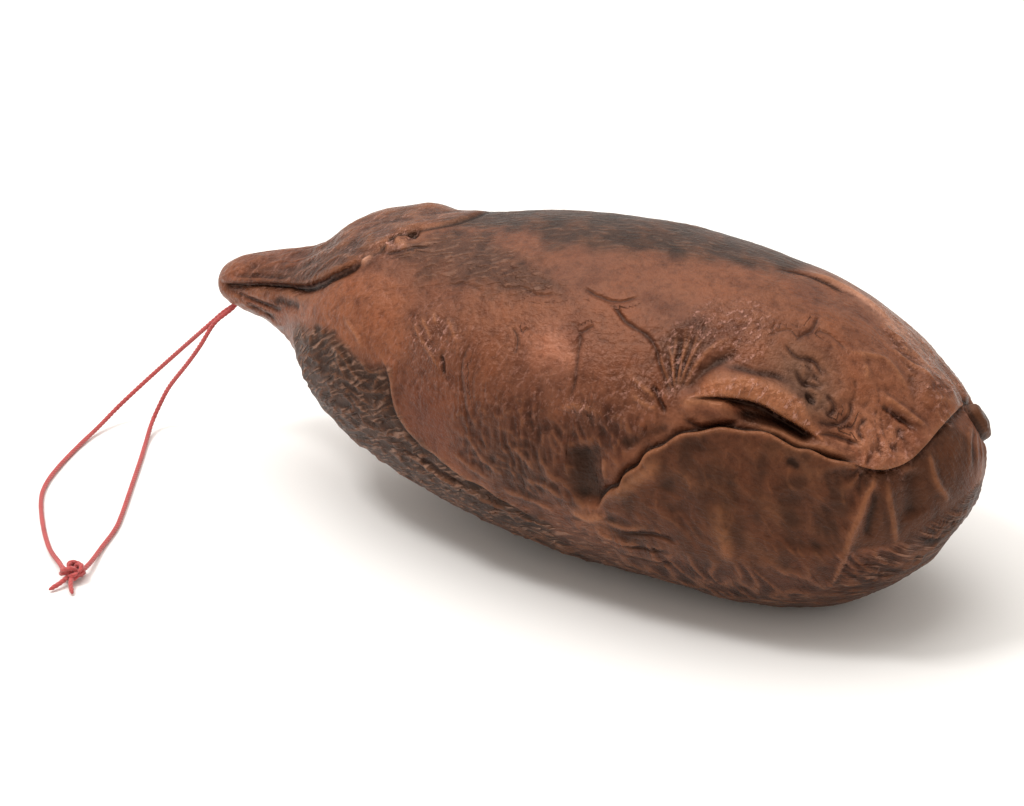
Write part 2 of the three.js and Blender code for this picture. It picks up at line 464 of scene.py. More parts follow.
# %% [markdown]
# ## The casing's outline
# A blind gut is a bag that ends in a narrow neck. Filled and laid down, it has round
# sections that grow, swell and close again. The outline is a row of rings: how far along
# each one is, how high its centre is, and its half height. They follow the frame's sausage.

# %% The casing's outline
RINGS = np.array(
    [
        (-125.5, 53.0, 0.0),
        (-124.9, 53.0, 5.2),
        (-121.2, 53.0, 7.0),
        (-113.1, 54.0, 9.0),
        (-103.1, 54.5, 11.5),
        (-92.0, 53.5, 16.0),
        (-82.4, 51.6, 23.3),
        (-72.9, 50.6, 30.1),
        (-58.0, 49.4, 36.1),
        (-37.8, 48.0, 41.0),
        (-12.3, 48.0, 46.1),
        (18.5, 47.5, 48.5),
        (46.1, 46.0, 48.0),
        (69.5, 44.1, 45.1),
        (89.7, 42.1, 38.1),
        (104.6, 42.6, 28.1),
        (114.1, 44.6, 17.0),
        (119.0, 45.5, 7.8),
        (120.5, 45.5, 0.0),
    ]
)
WIDER = 104 / 97
outline = smooth_line(RINGS, 24)
outline[:, 0] = np.maximum.accumulate(outline[:, 0])
outline[:, 2] = np.maximum(outline[:, 2], 0)


def centre_height(x):
    return np.interp(x, outline[:, 0], outline[:, 1])


def half_height(x):
    return np.interp(x, outline[:, 0], outline[:, 2])


def skin_point(x, turn, lifted=0.0):
    """The point on the smooth skin at x, turn degrees down from the top towards the front."""
    half = half_height(x) + lifted
    angle = np.radians(turn)
    return np.stack(
        [
            np.asarray(x, float) + 0 * angle,
            -WIDER * half * np.sin(angle),
            centre_height(x) + half * np.cos(angle),
        ],
        -1,
    )


print("outline is", round(line_length(outline[:, [0, 2]])), "mm from tip to end")

# %% [markdown]
# ## A cage for the skin
# A circle is set at the tip and extruded ring by ring, as one would draw a bag out of its
# neck. Each new ring is moved on and scaled about its own centre. The two ends are closed by
# extruding once more and merging to a point. Rings are closer where the outline bends, so
# they are spaced evenly along the outline and not along the sausage.

# %% A cage for the skin
CAGE_RINGS = 52
CAGE_SIDES = 48

steps = np.linalg.norm(np.diff(outline[:, [0, 2]], axis=0), axis=1)
along_outline = np.concatenate([[0], np.cumsum(steps)])
ring_places = np.linspace(0, along_outline[-1], CAGE_RINGS + 2)
cage = np.stack([np.interp(ring_places, along_outline, outline[:, k]) for k in range(3)], 1)

deselect()
first_x, first_z, first_half = cage[1]
bpy.ops.mesh.primitive_circle_add(
    vertices=CAGE_SIDES,
    radius=first_half * MM,
    location=(first_x * MM, 0, first_z * MM),
    rotation=(0, math.pi / 2, 0),
)
skin = bpy.context.object
skin.name = "cured_casing"
bpy.ops.object.transform_apply(location=True, rotation=True, scale=True)
bpy.ops.object.mode_set(mode="EDIT")
bpy.ops.mesh.select_all(action="SELECT")


def draw_on(before, after):
    """Extrudes the selected ring to the next ring's place, and scales it to its size."""
    step = ((after[0] - before[0]) * MM, 0, (after[1] - before[1]) * MM)
    bpy.ops.mesh.extrude_edges_move(TRANSFORM_OT_translate={"value": step})
    grow = max(after[2] / before[2], 0.001)
    bpy.ops.transform.resize(
        value=(1, grow, grow), center_override=(after[0] * MM, 0, after[1] * MM)
    )


for before, after in zip(cage[1:-1], cage[2:]):
    draw_on(before, after)
bpy.ops.mesh.merge(type="CENTER")
bpy.ops.mesh.select_all(action="DESELECT")
bpy.ops.object.mode_set(mode="OBJECT")
for edge in skin.data.edges:
    ends = [skin.data.vertices[v].co.x for v in edge.vertices]
    edge.select = bool(max(abs(x - first_x * MM) for x in ends) < 1e-6)
bpy.ops.object.mode_set(mode="EDIT")
bpy.ops.mesh.select_mode(type="EDGE")
draw_on(cage[1], cage[0])
bpy.ops.mesh.merge(type="CENTER")
bpy.ops.mesh.select_mode(type="VERT")
bpy.ops.mesh.select_all(action="SELECT")
bpy.ops.transform.resize(value=(1, WIDER, 1), center_override=(0, 0, 0))
bpy.ops.mesh.normals_make_consistent(inside=False)
bpy.ops.object.mode_set(mode="OBJECT")
rounding = skin.modifiers.new("rounding", "SUBSURF")
rounding.levels = 2
rounding.render_levels = 2
bpy.context.view_layer.objects.active = skin
bpy.ops.object.modifier_apply(modifier="rounding")
print("rounded cage has", len(skin.data.polygons), "faces")

# %% [markdown]
# ## Working on the skin in code
# The folds are soft, they overlap, and there are dozens of them. By hand one would sculpt
# them. Here each stroke of the sculpting tool is a line on the skin, and the points near it
# are moved by how far they are from it. All the moves are added up first: how far each point
# is lifted off the skin, how far it slides along it, and how its colour changes.


# %% Places on the skin
class Skin:
    """What the strokes read and add to, one value for each point of the mesh."""


def read_points(mesh):
    flat = np.zeros(len(mesh.vertices) * 3)
    mesh.vertices.foreach_get("co", flat)
    return flat.reshape(-1, 3) / MM


def read_normals(mesh):
    flat = np.zeros(len(mesh.vertices) * 3)
    mesh.vertex_normals.foreach_get("vector", flat)
    return flat.reshape(-1, 3)


def turn_of(p):
    """Degrees down from the top towards the front, -180 to 180."""
    return np.degrees(np.arctan2(-p[:, 1] / WIDER, p[:, 2] - centre_height(p[:, 0])))


def ease(value, low, high):
    t = np.clip((value - low) / (high - low), 0, 1)
    return t * t * (3 - 2 * t)


front = skin_point(np.array([0.0]), np.array([90.0]))[0]
print("the front of the belly's middle is at", front.round(1), "mm")

# %% [markdown]
# ## How near a line is
# Every stroke needs the same three things of the points near its line: how far across it
# they are, how far along it, and how far beyond its ends. The nearest of many points on the
# line gives all three. Points on the other side of the body are left out.


# %% How near a line is
def near_line(path, reach):
    """Points within reach of a line on the skin: which, how far across it, and how far along."""
    line = smooth_line(path, 12)
    line = skin_point(line[:, 0], line[:, 1])
    inside = np.all((Skin.rest > line.min(0) - reach) & (Skin.rest < line.max(0) + reach), axis=1)
    near = np.nonzero(inside)[0]
    p = Skin.rest[near]
    gap = (p**2).sum(1)[:, None] + (line**2).sum(1)[None, :] - 2 * p @ line.T
    nearest = gap.argmin(1)
    steps = np.linalg.norm(np.diff(line, axis=0), axis=1)
    along = np.concatenate([[0], np.cumsum(steps)])
    tangent = np.gradient(line, axis=0)
    tangent /= np.linalg.norm(tangent, axis=1)[:, None]
    normals = Skin.normals[near]
    side = np.cross(normals, tangent[nearest])
    offset = p - line[nearest]
    across = (offset * side).sum(1)
    beyond = (offset * tangent[nearest]).sum(1)
    share = (along[nearest] + beyond) / along[-1]
    beyond = np.where((nearest == 0) | (nearest == len(line) - 1), np.abs(beyond), 0)
    facing = np.abs((offset * normals).sum(1)) < reach
    kept = (np.abs(across) < reach) & (beyond < reach) & facing
    return near[kept], across[kept], share[kept], beyond[kept], side[kept]


def taper(share, beyond, fade, width):
    """1 along the middle of a line, down to 0 at its two ends."""
    ends = np.minimum(ease(share, 0, fade), ease(1 - share, 0, fade)) if fade else 1.0
    return ends * np.exp(-((beyond / width) ** 2))


print("a stroke at its very end has", round(float(taper(0.0, 0.0, 0.25, 1.0)), 1), "of its height")

# %% [markdown]
# ## Five simple strokes
# Dried casing shows the same few shapes over and over. A crease is a narrow valley with a
# low rim on both sides, painted darker inside as painted shade. A ridge is its opposite,
# painted lighter on top as a painted highlight. A dent is wide and soft, and may be painted
# darker as shade. The fourth stroke only darkens the colour along a line: painted shade under
# an overhang and in a slit, and dried juice and smoke gathered along a line elsewhere. A
# hairline is a crack finer than the mesh.
# Only the distance to it is stored, and the material draws the line, because a distance
# stays exact between two points and a thin line does not.


# %% Five simple strokes
HAIRLINE_REACH = 2.6


def mark(values, near, strength):
    values[near] = np.maximum(values[near], strength)


def hairline(path, dark=1.0, fade=0.2):
    near, across, share, beyond, _ = near_line(path, HAIRLINE_REACH)
    strength = dark * taper(share, beyond, fade, 0.6)
    strength = strength * ease(HAIRLINE_REACH - np.abs(across), 0, 1.2)
    better = strength > Skin.hair_mark[near]
    Skin.hair_mark[near[better]] = strength[better]
    Skin.hair_gap[near[better]] = across[better]


def crease(path, depth, width, rim=0.08, fade=0.25, dark=0.7, hair=1.0):
    near, across, share, beyond, _ = near_line(path, 4 * width)
    strength = taper(share, beyond, fade, width)
    valley = np.exp(-((across / width) ** 2))
    rims = np.exp(-(((np.abs(across) - 2 * width) / width) ** 2))
    Skin.lift[near] += strength * depth * (rim * rims - valley)
    # The crease's valley is painted darker: a painted shade.
    mark(Skin.deep, near, 0.45 * dark * strength * valley)
    if hair:
        hairline(path, dark=hair * dark)


def ridge(path, height, width, fade=0.25, light=0.6):
    near, across, share, beyond, _ = near_line(path, 3 * width)
    strength = taper(share, beyond, fade, width)
    top = np.exp(-((across / width) ** 2))
    Skin.lift[near] += strength * height * top
    # The top of the ridge is painted lighter: a painted highlight.
    mark(Skin.rubbed, near, light * strength * top**2)


def dent(path, depth, width, fade=0.2, dark=0.0):
    near, across, share, beyond, _ = near_line(path, 2.5 * width)
    strength = taper(share, beyond, fade, width)
    bowl = np.exp(-((across / width) ** 2))
    Skin.lift[near] -= strength * depth * bowl
    # The dent's bowl is painted darker: a painted shade.
    mark(Skin.deep, near, dark * strength * bowl)


def darken_line(path, width, dark=0.6, fade=0.3):
    near, across, share, beyond, _ = near_line(path, 2.5 * width)
    strength = taper(share, beyond, fade, width)
    # This only darkens the colour along the line, for painted shade and for dried juice.
    mark(Skin.deep, near, dark * strength * np.exp(-((across / width) ** 2)))


print("strokes:", [tool.__name__ for tool in (crease, ridge, dent, darken_line, hairline)])

# %% [markdown]
# ## The lip
# A lip is skin that has folded over and hangs over the skin beside it, with a dark slit under
# it. Lifting alone can't make an overhang, so the points also slide: the raised side out
# over the slit, and the low side in under it.


# %% The lip
def lip(path, height, width, slit, slit_width, overhang, side=1, fade=0.15, light=0.7, dark=1.0):
    """side is 1 if the raised skin is on the left, seen from outside, going along the path."""
    reach = max(3 * width, 4 * slit_width)
    near, across, share, beyond, out = near_line(path, reach)
    across = across * side
    strength = taper(share, beyond, fade, slit_width)
    crest = 0.25 * width
    fall = np.exp(-np.maximum(across - crest, 0) / width)
    top = ease(across, -0.5, crest) * fall
    valley = ease(-across, -0.3, 0.7) * np.exp(-((np.minimum(across, 0) / slit_width) ** 2))
    Skin.lift[near] += strength * (height * top - slit * valley)
    hang = ease(across, -0.6, 0.6) * np.exp(-((np.maximum(across, 0) / (0.7 * width)) ** 2))
    tuck = ease(-across, -0.6, 0.6) * np.exp(-((np.minimum(across, 0) / slit_width) ** 2))
    moves = strength * side * overhang * (0.4 * tuck - hang)
    Skin.slide[near] += out * moves[:, None]
    # The lip's edge is painted lighter, a painted highlight, and its slit darker, a painted shade.
    edge = np.exp(-(((across - 0.5) / 0.8) ** 2))
    mark(Skin.rubbed, near, light * strength * edge)
    mark(Skin.deep, near, dark * strength * valley)
    mark(Skin.folded, near, strength * np.exp(-((across / 2.5) ** 2)))


print("the sixth stroke is the", lip.__name__)

# %% [markdown]
# ## The neck and the flap on top
# The casing's neck was gathered, tied off and trimmed. A broad flap of it runs over the top
# and hangs over a long dark groove. Under the groove lies a rounder fold, then a shallow
# hollow. The flap ends on the shoulder in a bead of fat and a small torn hole. Each fold is
# a tool, a path of (mm along, degrees down from the top) and the stroke's sizes.

# %% The neck and the flap
NECK_GROOVE = [(-123, 76), (-113, 70), (-104, 63), (-93, 55), (-81, 49), (-70, 42), (-61, 33)]
NECK_FOLDS = [
    (lip, NECK_GROOVE,
     dict(height=0.8, width=5.0, slit=2.0, slit_width=2.6, overhang=0.5, fade=0.06, light=0.0)),
    (hairline, NECK_GROOVE, dict(fade=0.1)),
    # The darkened line along the groove is painted shade under the flap's overhang; the two above
    # it darken the flap's folds.
    (darken_line, [(-110, 63), (-94, 51), (-81, 44), (-70, 35), (-62, 27)], dict(width=4.0, dark=0.5)),
    (darken_line, [(-96, 38), (-84, 32), (-74, 22)], dict(width=3.0, dark=0.4)),
    (darken_line, [(-106, 8), (-94, 6), (-84, 2)], dict(width=2.4, dark=0.4)),
    (dent, [(-94, 60), (-82, 54), (-70, 47)], dict(depth=1.0, width=3.5, dark=0.25)),
    (crease, [(-118, 58), (-108, 53), (-98, 50), (-90, 44)], dict(depth=0.6, width=1.0)),
    (dent, [(-116, 40), (-104, 38), (-92, 36), (-82, 28)], dict(depth=0.8, width=2.5, dark=0.3)),
    (dent, [(-112, 18), (-100, 16), (-88, 16), (-78, 8)], dict(depth=0.7, width=2.5, dark=0.3)),
    (dent, [(-86, 34), (-76, 26), (-68, 16)], dict(depth=0.6, width=2.0, dark=0.35)),
    (hairline, [(-104, 28), (-94, 27), (-84, 20), (-76, 18)], dict(dark=0.6)),
    (hairline, [(-74, 28), (-68, 20), (-62, 10)], dict(dark=0.5)),
    (ridge, [(-116, 81), (-104, 76), (-92, 65), (-80, 59), (-72, 54)],
     dict(height=1.0, width=2.2, light=0.35)),
    (dent, [(-99, 80), (-90, 71), (-82, 65)], dict(depth=1.0, width=1.8, dark=0.5)),
    (crease, [(-119, 93), (-109, 96), (-100, 92), (-92, 84)], dict(depth=0.8, width=1.0)),
    (crease, [(-112, 112), (-104, 112), (-96, 106)], dict(depth=0.7, width=1.1)),
    (ridge, [(-88, -4), (-76, -12), (-66, -17), (-56, -18), (-48, -18)],
     dict(height=2.6, width=8, light=0.1)),
    (lip, [(-61, 33), (-58, 26), (-57, 18), (-53, 12), (-47, 9), (-41, 3), (-39, -8), (-40, -20)],
     dict(height=0.6, width=6.5, slit=0.9, slit_width=1.6, overhang=0.3, light=0.3)),
    (ridge, [(-60.5, 34), (-59.5, 32)], dict(height=1.2, width=1.0, fade=0, light=1.0)),
    (dent, [(-52, 13), (-50.5, 15.5)], dict(depth=2.4, width=1.4, fade=0, dark=1.0)),
    (ridge, [(-57.5, 21), (-56, 24)], dict(height=0.7, width=0.8, fade=0, light=0.8)),
    (ridge, [(-55, 18), (-53.5, 21)], dict(height=0.8, width=0.9, fade=0, light=0.9)),
    (ridge, [(-52, 21), (-50, 24)], dict(height=0.7, width=0.8, fade=0, light=0.8)),
    (crease, [(-58, 28), (-52, 27), (-46, 23), (-40, 22)], dict(depth=0.4, width=0.8)),
]
print("neck and flap:", len(NECK_FOLDS), "strokes")

# %% [markdown]
# ## The flank's folds
# On the left of the flank a smooth sheet of skin ends in a thin raised rim, which lies over
# a grey, finely wrinkled patch. To its right the skin is drawn down in long shallow folds.
# Dried fat has beaded on a few of them.

# %% The flank's folds
SHEET_RIM = [(-45, 71), (-40, 77), (-38, 86), (-36, 92), (-32, 98), (-27, 102), (-20, 104),
             (-13, 108), (-6, 110), (2, 114), (10, 117)]
FLANK_FOLDS = [
    (lip, SHEET_RIM,
     dict(height=0.7, width=2.5, slit=0.8, slit_width=1.8, overhang=0.7, light=0.6, dark=0.6)),
    (ridge, [(-61, 61), (-55, 66), (-50, 72)], dict(height=0.4, width=0.6)),
    (ridge, [(-34, 112), (-20, 113), (-6, 116), (8, 121)], dict(height=0.8, width=1.1)),
    (crease, [(-38, 108), (-24, 110), (-10, 112)], dict(depth=0.6, width=0.9)),
    (ridge, [(-35, 55), (-31, 60), (-27, 64), (-21, 70)], dict(height=0.4, width=0.6)),
    (ridge, [(-33, 52), (-29, 57), (-26, 61)], dict(height=0.4, width=0.6)),
    (ridge, [(-29, 50), (-26, 55)], dict(height=0.35, width=0.6)),
    (ridge, [(-24, 51), (-20, 56), (-17, 60)], dict(height=0.4, width=0.6)),
    (crease, [(-22, 64), (-20.5, 68), (-19.5, 72)], dict(depth=0.6, width=0.7)),
    (hairline, [(-13, 56), (-14, 67), (-11, 78), (-8, 90)], dict(dark=0.6)),
    (hairline, [(-9, 60), (-9.5, 70), (-7, 82)], dict(dark=0.35)),
    (hairline, [(-2, 50), (1, 53.5), (2, 59)], dict(dark=0.8)),
    (hairline, [(3, 49), (1, 53.5)], dict(dark=0.7)),
    (crease, [(15, 44), (18.8, 47.5), (20.5, 55), (21.5, 64), (20, 70)],
     dict(depth=0.3, width=0.8, dark=0.4)),
    (hairline, [(22, 43.5), (18.8, 47.5)], dict(dark=0.8)),
    (hairline, [(13, 32), (20, 34), (26, 33.5), (31, 29)], dict(dark=0.9)),
    (hairline, [(-10, 38), (-4, 36.5), (2, 38), (8, 36)], dict(dark=0.6)),
    (hairline, [(-30, 40), (-22, 38), (-14, 41)], dict(dark=0.4)),
    (ridge, [(18, 72), (24, 69.5), (30, 69.5)], dict(height=0.5, width=0.9, light=0.7)),
    (ridge, [(5, 88), (9, 91), (13, 95)], dict(height=0.6, width=0.9, light=0.5)),
    (ridge, [(8, 100), (13, 99.5), (17, 100), (21, 103)], dict(height=0.7, width=0.9)),
    (ridge, [(-8, 92), (-4, 97), (3, 101)], dict(height=0.5, width=0.9, light=0.5)),
    (ridge, [(14, 87), (17, 94), (21, 98)], dict(height=0.5, width=0.8, light=0.4)),
    (ridge, [(-16, 98), (-9, 102), (-1, 106)], dict(height=0.5, width=0.9, light=0.4)),
    (ridge, [(0, 107), (9, 108), (18, 110)], dict(height=0.7, width=1.0)),
    (dent, [(6, 80), (22, 78), (40, 74)], dict(depth=0.9, width=6, dark=0.15)),
]
print("flank:", len(FLANK_FOLDS), "strokes")

# %% [markdown]
# ## The pucker
# Where the casing was pinched as it dried, folds run together like cloth in a fist. A long
# crease comes down from the upper left, a slot opens on the right, and thin wrinkles fan out
# between them. All of them meet in one small pit.

# %% The pucker
FAN_PIT = (50.3, 58)
FAN_STARTS = [(41.5, 45), (42.5, 40), (44, 36.5), (46, 34), (48, 32.5), (50, 32), (52.5, 33)]
PUCKER_FOLDS = [
    (crease, [(20, 34.5), (24.5, 35.5), (30, 39.5), (36, 41.5), (40, 44), (43.5, 49.5), (50, 58)],
     dict(depth=0.5, width=0.7, fade=0.2, dark=0.5)),
    (dent, [(46, 36), (47, 45), (49, 54), FAN_PIT], dict(depth=1.6, width=4.5, dark=0.3)),
    (ridge, [(60, 32), (56, 38), (53.5, 44.5), (52.2, 51), (51, 57)],
     dict(height=0.35, width=0.9, light=0.5)),
    (dent, [(65, 35), (61, 39), (57, 44.5), (54.3, 50), (51.5, 57)],
     dict(depth=1.4, width=1.9, fade=0.45, dark=0.85)),
    (dent, [(57, 46), (62, 43.5), (68, 43), (73, 41), (79, 41.5)],
     dict(depth=0.8, width=1.7, fade=0.35, dark=0.3)),
    (crease, [(43, 56), (46, 60), (49, 64)], dict(depth=0.8, width=1.0)),
    (ridge, [(36, 55), (41, 58), (46, 60)], dict(height=0.5, width=0.8, light=0.8)),
    (ridge, [(38, 61), (43, 63), (47, 63)], dict(height=0.5, width=0.8, light=0.8)),
]
for number, (start_x, start_turn) in enumerate(FAN_STARTS):
    middle_x = 0.5 * (start_x + FAN_PIT[0]) + (0.5 if number % 2 else -0.5)
    middle = (middle_x, 0.5 * (start_turn + FAN_PIT[1]))
    sizes = dict(height=0.55, width=0.55, fade=0.35, light=0.55)
    PUCKER_FOLDS.append((ridge, [(start_x, start_turn), middle, FAN_PIT], sizes))
print("pucker:", len(PUCKER_FOLDS), "strokes")

# %% [markdown]
# ## The two lips and the lid
# Right of the pucker the skin is folded into an upper lip that overhangs a dark slit. Below
# it the belly's panel rises as a lid, with a thin light rim that curves from the hollow on
# the left, up over the slit, to the corner on the right.

# %% The lips and the lid
LID_EDGE = [(31, 104), (33, 99), (35.5, 94.5), (39, 91), (40.5, 86.5), (44, 82.5), (46, 77.5),
            (50, 74), (54, 69), (59, 66.3), (64, 63), (70, 61.8), (76, 60), (83, 61.8),
            (87, 61), (92, 62.3), (99, 61.5)]
LID_FOLDS = [
    (ridge, [(54, 54), (60, 49.5), (67, 47), (75, 46), (82, 48), (88, 51.5)],
     dict(height=2.3, width=3.2, light=0.3)),
    (lip, [(52.5, 60), (56, 56.5), (64, 52.5), (71, 50.8), (77, 51.5), (83, 53), (90, 56)],
     dict(height=1.2, width=3.0, slit=4.0, slit_width=2.5, overhang=1.4, fade=0.3, light=0.6,
          dark=0.9)),
    (dent, [(65, 57), (73, 55), (80, 54.8), (88, 57)], dict(depth=2.6, width=2.2, dark=1.0)),
    # Painted shade in the slit under the upper lip.
    (darken_line, [(64, 59), (72, 57), (80, 56.5), (88, 58)], dict(width=1.8, dark=0.9)),
    (ridge, [(51.5, 61), (56, 57.8), (61, 56), (67, 56.2)],
     dict(height=3.2, width=2.0, light=0.9)),
    (crease, [(53, 63.5), (59, 64.5), (64, 62), (69, 58.5)], dict(depth=1.2, width=1.0)),
    (ridge, [(69, 60), (78, 58), (84, 59.3), (91, 58.5), (98, 60.5)],
     dict(height=1.2, width=1.2)),
    (lip, LID_EDGE,
     dict(height=1.4, width=4.5, slit=2.0, slit_width=1.8, overhang=0.9, side=-1, fade=0.06,
          light=0.55)),
    (dent, [(26, 80), (28.5, 88), (29, 95), (28, 103)], dict(depth=2.4, width=5.0, dark=0.6)),
    (dent, [(37, 79), (44, 73), (52, 67)], dict(depth=1.2, width=2.4, dark=0.35)),
    (ridge, [(36, 98), (39.5, 93), (43, 88.5), (46.5, 84.5), (51, 77.5)],
     dict(height=0.6, width=2.2, light=0.7)),
    (ridge, [(22, 106), (28, 108), (34, 104)], dict(height=0.8, width=1.3, light=0.8)),
    (ridge, [(34, 83), (33.8, 87), (34.5, 91)], dict(height=0.8, width=0.8)),
    (dent, [(83, 67), (84.2, 67.5)], dict(depth=1.0, width=1.1, fade=0, dark=1.0)),
    (dent, [(82.6, 42.6), (83.6, 43.4)], dict(depth=1.6, width=1.1, fade=0, dark=1.0)),
    (ridge, [(66, 88), (68, 100), (69, 113)], dict(height=0.6, width=2.2, light=0.25)),
    (darken_line, [(72.5, 88), (72, 98), (72.5, 108)], dict(width=1.5, dark=0.5)),
    (darken_line, [(61, 97), (62, 108), (61, 119)], dict(width=1.5, dark=0.5)),
    (crease, [(37, 111), (44, 108.5), (50, 107), (55, 108)], dict(depth=0.6, width=0.8)),
    (crease, [(36, 117), (45, 116), (53, 113)], dict(depth=0.6, width=0.8)),
    (crease, [(34, 123), (44, 123), (52, 120)], dict(depth=0.6, width=0.8)),
    (ridge, [(33, 107), (40, 107), (47, 104)], dict(height=0.5, width=0.9, light=0.5)),
    (ridge, [(29, 112), (36, 115), (44, 114)], dict(height=0.6, width=1.0, light=0.5)),
    (dent, [(50, 84), (56, 92), (52, 98)], dict(depth=0.8, width=4, dark=0.2)),
    (dent, [(84, 76), (86, 90), (84, 104)], dict(depth=1.0, width=5, dark=0.2)),
]
print("lips and lid:", len(LID_FOLDS), "strokes")

# %% [markdown]
# ## The blunt end
# The end was closed by a gathered knot of gut, which has dried to a hard dark nub. The skin
# round it is pulled into long folds. Three of them stand up as soft ridges with dark smooth
# skin between them, and the upper body ends in a lip above. Thin creases cover its top like
# a net.

# %% The blunt end
NET = dict(depth=0.35, width=0.7)
END_LIP = [(97, 62), (103.6, 61.8), (108, 55), (110.3, 42), (111.5, 25), (112, 5), (112, -18)]
END_FOLDS = [
    (ridge, [(101.6, 63), (102.2, 69), (101, 77), (100.2, 86), (98.2, 96), (97.2, 106), (94.6, 118),
             (92, 128)],
     dict(height=0.8, width=0.8, fade=0.15, light=0.75)),
    (ridge, [(101.4, 64), (101, 77), (98.6, 96), (94, 118)],
     dict(height=0.9, width=2.4, fade=0.3, light=0.25)),
    (ridge, [(92, 63.5), (97.5, 63), (101.5, 63.5)], dict(height=0.7, width=1.1)),
    (dent, [(94, 78), (93, 92), (91, 106)], dict(depth=1.3, width=4.0, dark=0.25)),
    (ridge, [(104.6, 63.5), (106, 78), (107.3, 93), (107.8, 118)],
     dict(height=0.9, width=1.1, fade=0.4, light=0.5)),
    (dent, [(103.4, 72), (102.8, 86), (102, 100)], dict(depth=0.8, width=1.5, dark=0.4)),
    (dent, [(109, 58), (110.4, 76), (111, 98)], dict(depth=1.4, width=3.4, dark=0.5)),
    (ridge, [(110.5, 38), (112.2, 50), (113.6, 62), (115, 74), (116.4, 86), (117.2, 110)],
     dict(height=1.0, width=1.2, fade=0.4, light=0.4)),
    (lip, END_LIP,
     dict(height=1.1, width=3.4, slit=1.3, slit_width=2.0, overhang=0.8, fade=0.06, light=0.6)),
    (ridge, [(101, 10), (107, 0), (111, -12)], dict(height=2.4, width=7.0, fade=0.3, light=0.0)),
    (dent, [(104, 36), (106, 45), (104, 53)], dict(depth=0.9, width=2.6, dark=0.1)),
    (ridge, [(97, 27), (102, 27.5), (106, 29), (110, 31)], dict(height=0.8, width=0.9)),
    (crease, [(98, 32), (103, 32.5), (108, 35)], dict(depth=0.7, width=1.1)),
    (ridge, [(84, 19), (89, 15), (94, 10), (99, 13), (103, 18)], dict(height=0.5, width=0.9)),
    (ridge, [(90.5, 18), (92, 21), (93, 25)], dict(height=0.5, width=0.8)),
    (crease, [(75, 10), (76, 17.5), (75, 21), (73.5, 26)], dict(depth=0.4, width=0.7)),
    (hairline, [(76, 17.5), (81, 16), (86, 18)], dict(dark=0.6)),
    (hairline, [(75, 21), (70, 24), (67, 30)], dict(dark=0.5)),
    (crease, [(71, 28), (76, 31), (80, 29), (84, 33)], NET),
    (crease, [(77, 35), (80, 38.5), (85, 37)], NET),
    (crease, [(86, 38), (89, 42), (88, 47)], NET),
    (crease, [(92, 36), (93, 42), (91, 48), (86, 50)], NET),
    (crease, [(88, 47), (91, 48), (96, 46)], NET),
    (crease, [(97, 40), (96, 46), (98, 52)], NET),
    (crease, [(87, 54), (92, 52.5), (98, 53)], NET),
    (ridge, [(62, -12), (69, -13.5), (75, -15), (82, -16), (90, -17)],
     dict(height=1.2, width=1.6, light=1.0)),
    (crease, [(56, -2), (61, -7), (67, -10), (76, -11)], dict(depth=0.6, width=0.9)),
    (ridge, [(86, -8), (94, -9), (102, -8)], dict(height=0.7, width=1.1, light=0.7)),
    (ridge, [(92, 2), (99, 1), (106, 2)], dict(height=0.6, width=1.0, light=0.5)),
]
print("blunt end:", len(END_FOLDS), "strokes")

# %% [markdown]
# ## The side that is turned away
# The back is the same skin, dried the same way, so it gets folds of the same kinds: long
# creases from the neck, three soft lips, one deep pinch at the end of the second, shallow
# creases across the belly, and low pleats round the end.

# %% The far side and the underside
NECK_CREASE = dict(width=1.3, dark=0.4, hair=0.6)
SOFT_LIP = dict(slit_width=1.6, overhang=0.5, fade=0.35, light=0.35, dark=0.6)
SHALLOW = dict(depth=0.4, width=1.0, dark=0.4)
PLEAT = dict(height=0.6, width=2.0, fade=0.5, light=0.05)
FAR_FOLDS = [
    (crease, [(-116, -60), (-104, -66), (-92, -58), (-80, -52)], dict(depth=0.9, **NECK_CREASE)),
    (crease, [(-118, -95), (-106, -100), (-94, -96), (-84, -88)], dict(depth=0.9, **NECK_CREASE)),
    (crease, [(-112, -140), (-100, -144), (-88, -138)], dict(depth=0.8, **NECK_CREASE)),
    (crease, [(-112, 155), (-98, 158), (-86, 150)], dict(depth=0.8, **NECK_CREASE)),
    (lip, [(-88, -40), (-70, -46), (-54, -48), (-38, -56), (-26, -66)],
     dict(height=0.9, width=4.5, slit=0.9, **SOFT_LIP)),
    (lip, [(20, -88), (32, -80), (46, -76), (60, -78), (74, -86), (84, -96)],
     dict(height=1.0, width=5.0, slit=1.3, slit_width=1.8, overhang=0.6, fade=0.35, light=0.4,
          dark=0.6)),
    (lip, [(66, -44), (76, -52), (84, -62), (92, -70), (100, -72)],
     dict(height=0.8, width=4.5, slit=1.0, side=-1, **SOFT_LIP)),
    (dent, [(20, -96), (24, -90), (28, -84)], dict(depth=2.0, width=3.0, dark=0.7)),
]
SHALLOW_CREASES = [
    [(-30, -40), (-22, -52), (-20, -66), (-24, -80)],
    [(0, -35), (4, -48), (2, -60), (6, -72)],
    [(40, -42), (44, -54), (42, -66)],
    [(-50, -80), (-38, -88), (-30, -100)],
    [(50, -96), (54, -108), (52, -120)],
    [(66, -94), (69, -106), (66, -118)],
    [(-10, -92), (-4, -104), (-8, -116)],
]
PLEATS = [
    [(104, -30), (110, -42), (114, -56)],
    [(106, -70), (112, -78), (116, -88)],
    [(104, -104), (110, -112), (115, -116)],
    [(102, 140), (109, 140), (114, 142)],
    [(102, 178), (109, 176), (114, 174)],
    [(103, -142), (110, -144), (115, -146)],
]
FAR_FOLDS += [(crease, path, SHALLOW) for path in SHALLOW_CREASES]
FAR_FOLDS.append(
    (crease, [(10, -60), (22, -64), (34, -60)], dict(depth=0.3, width=1.0, dark=0.35))
)
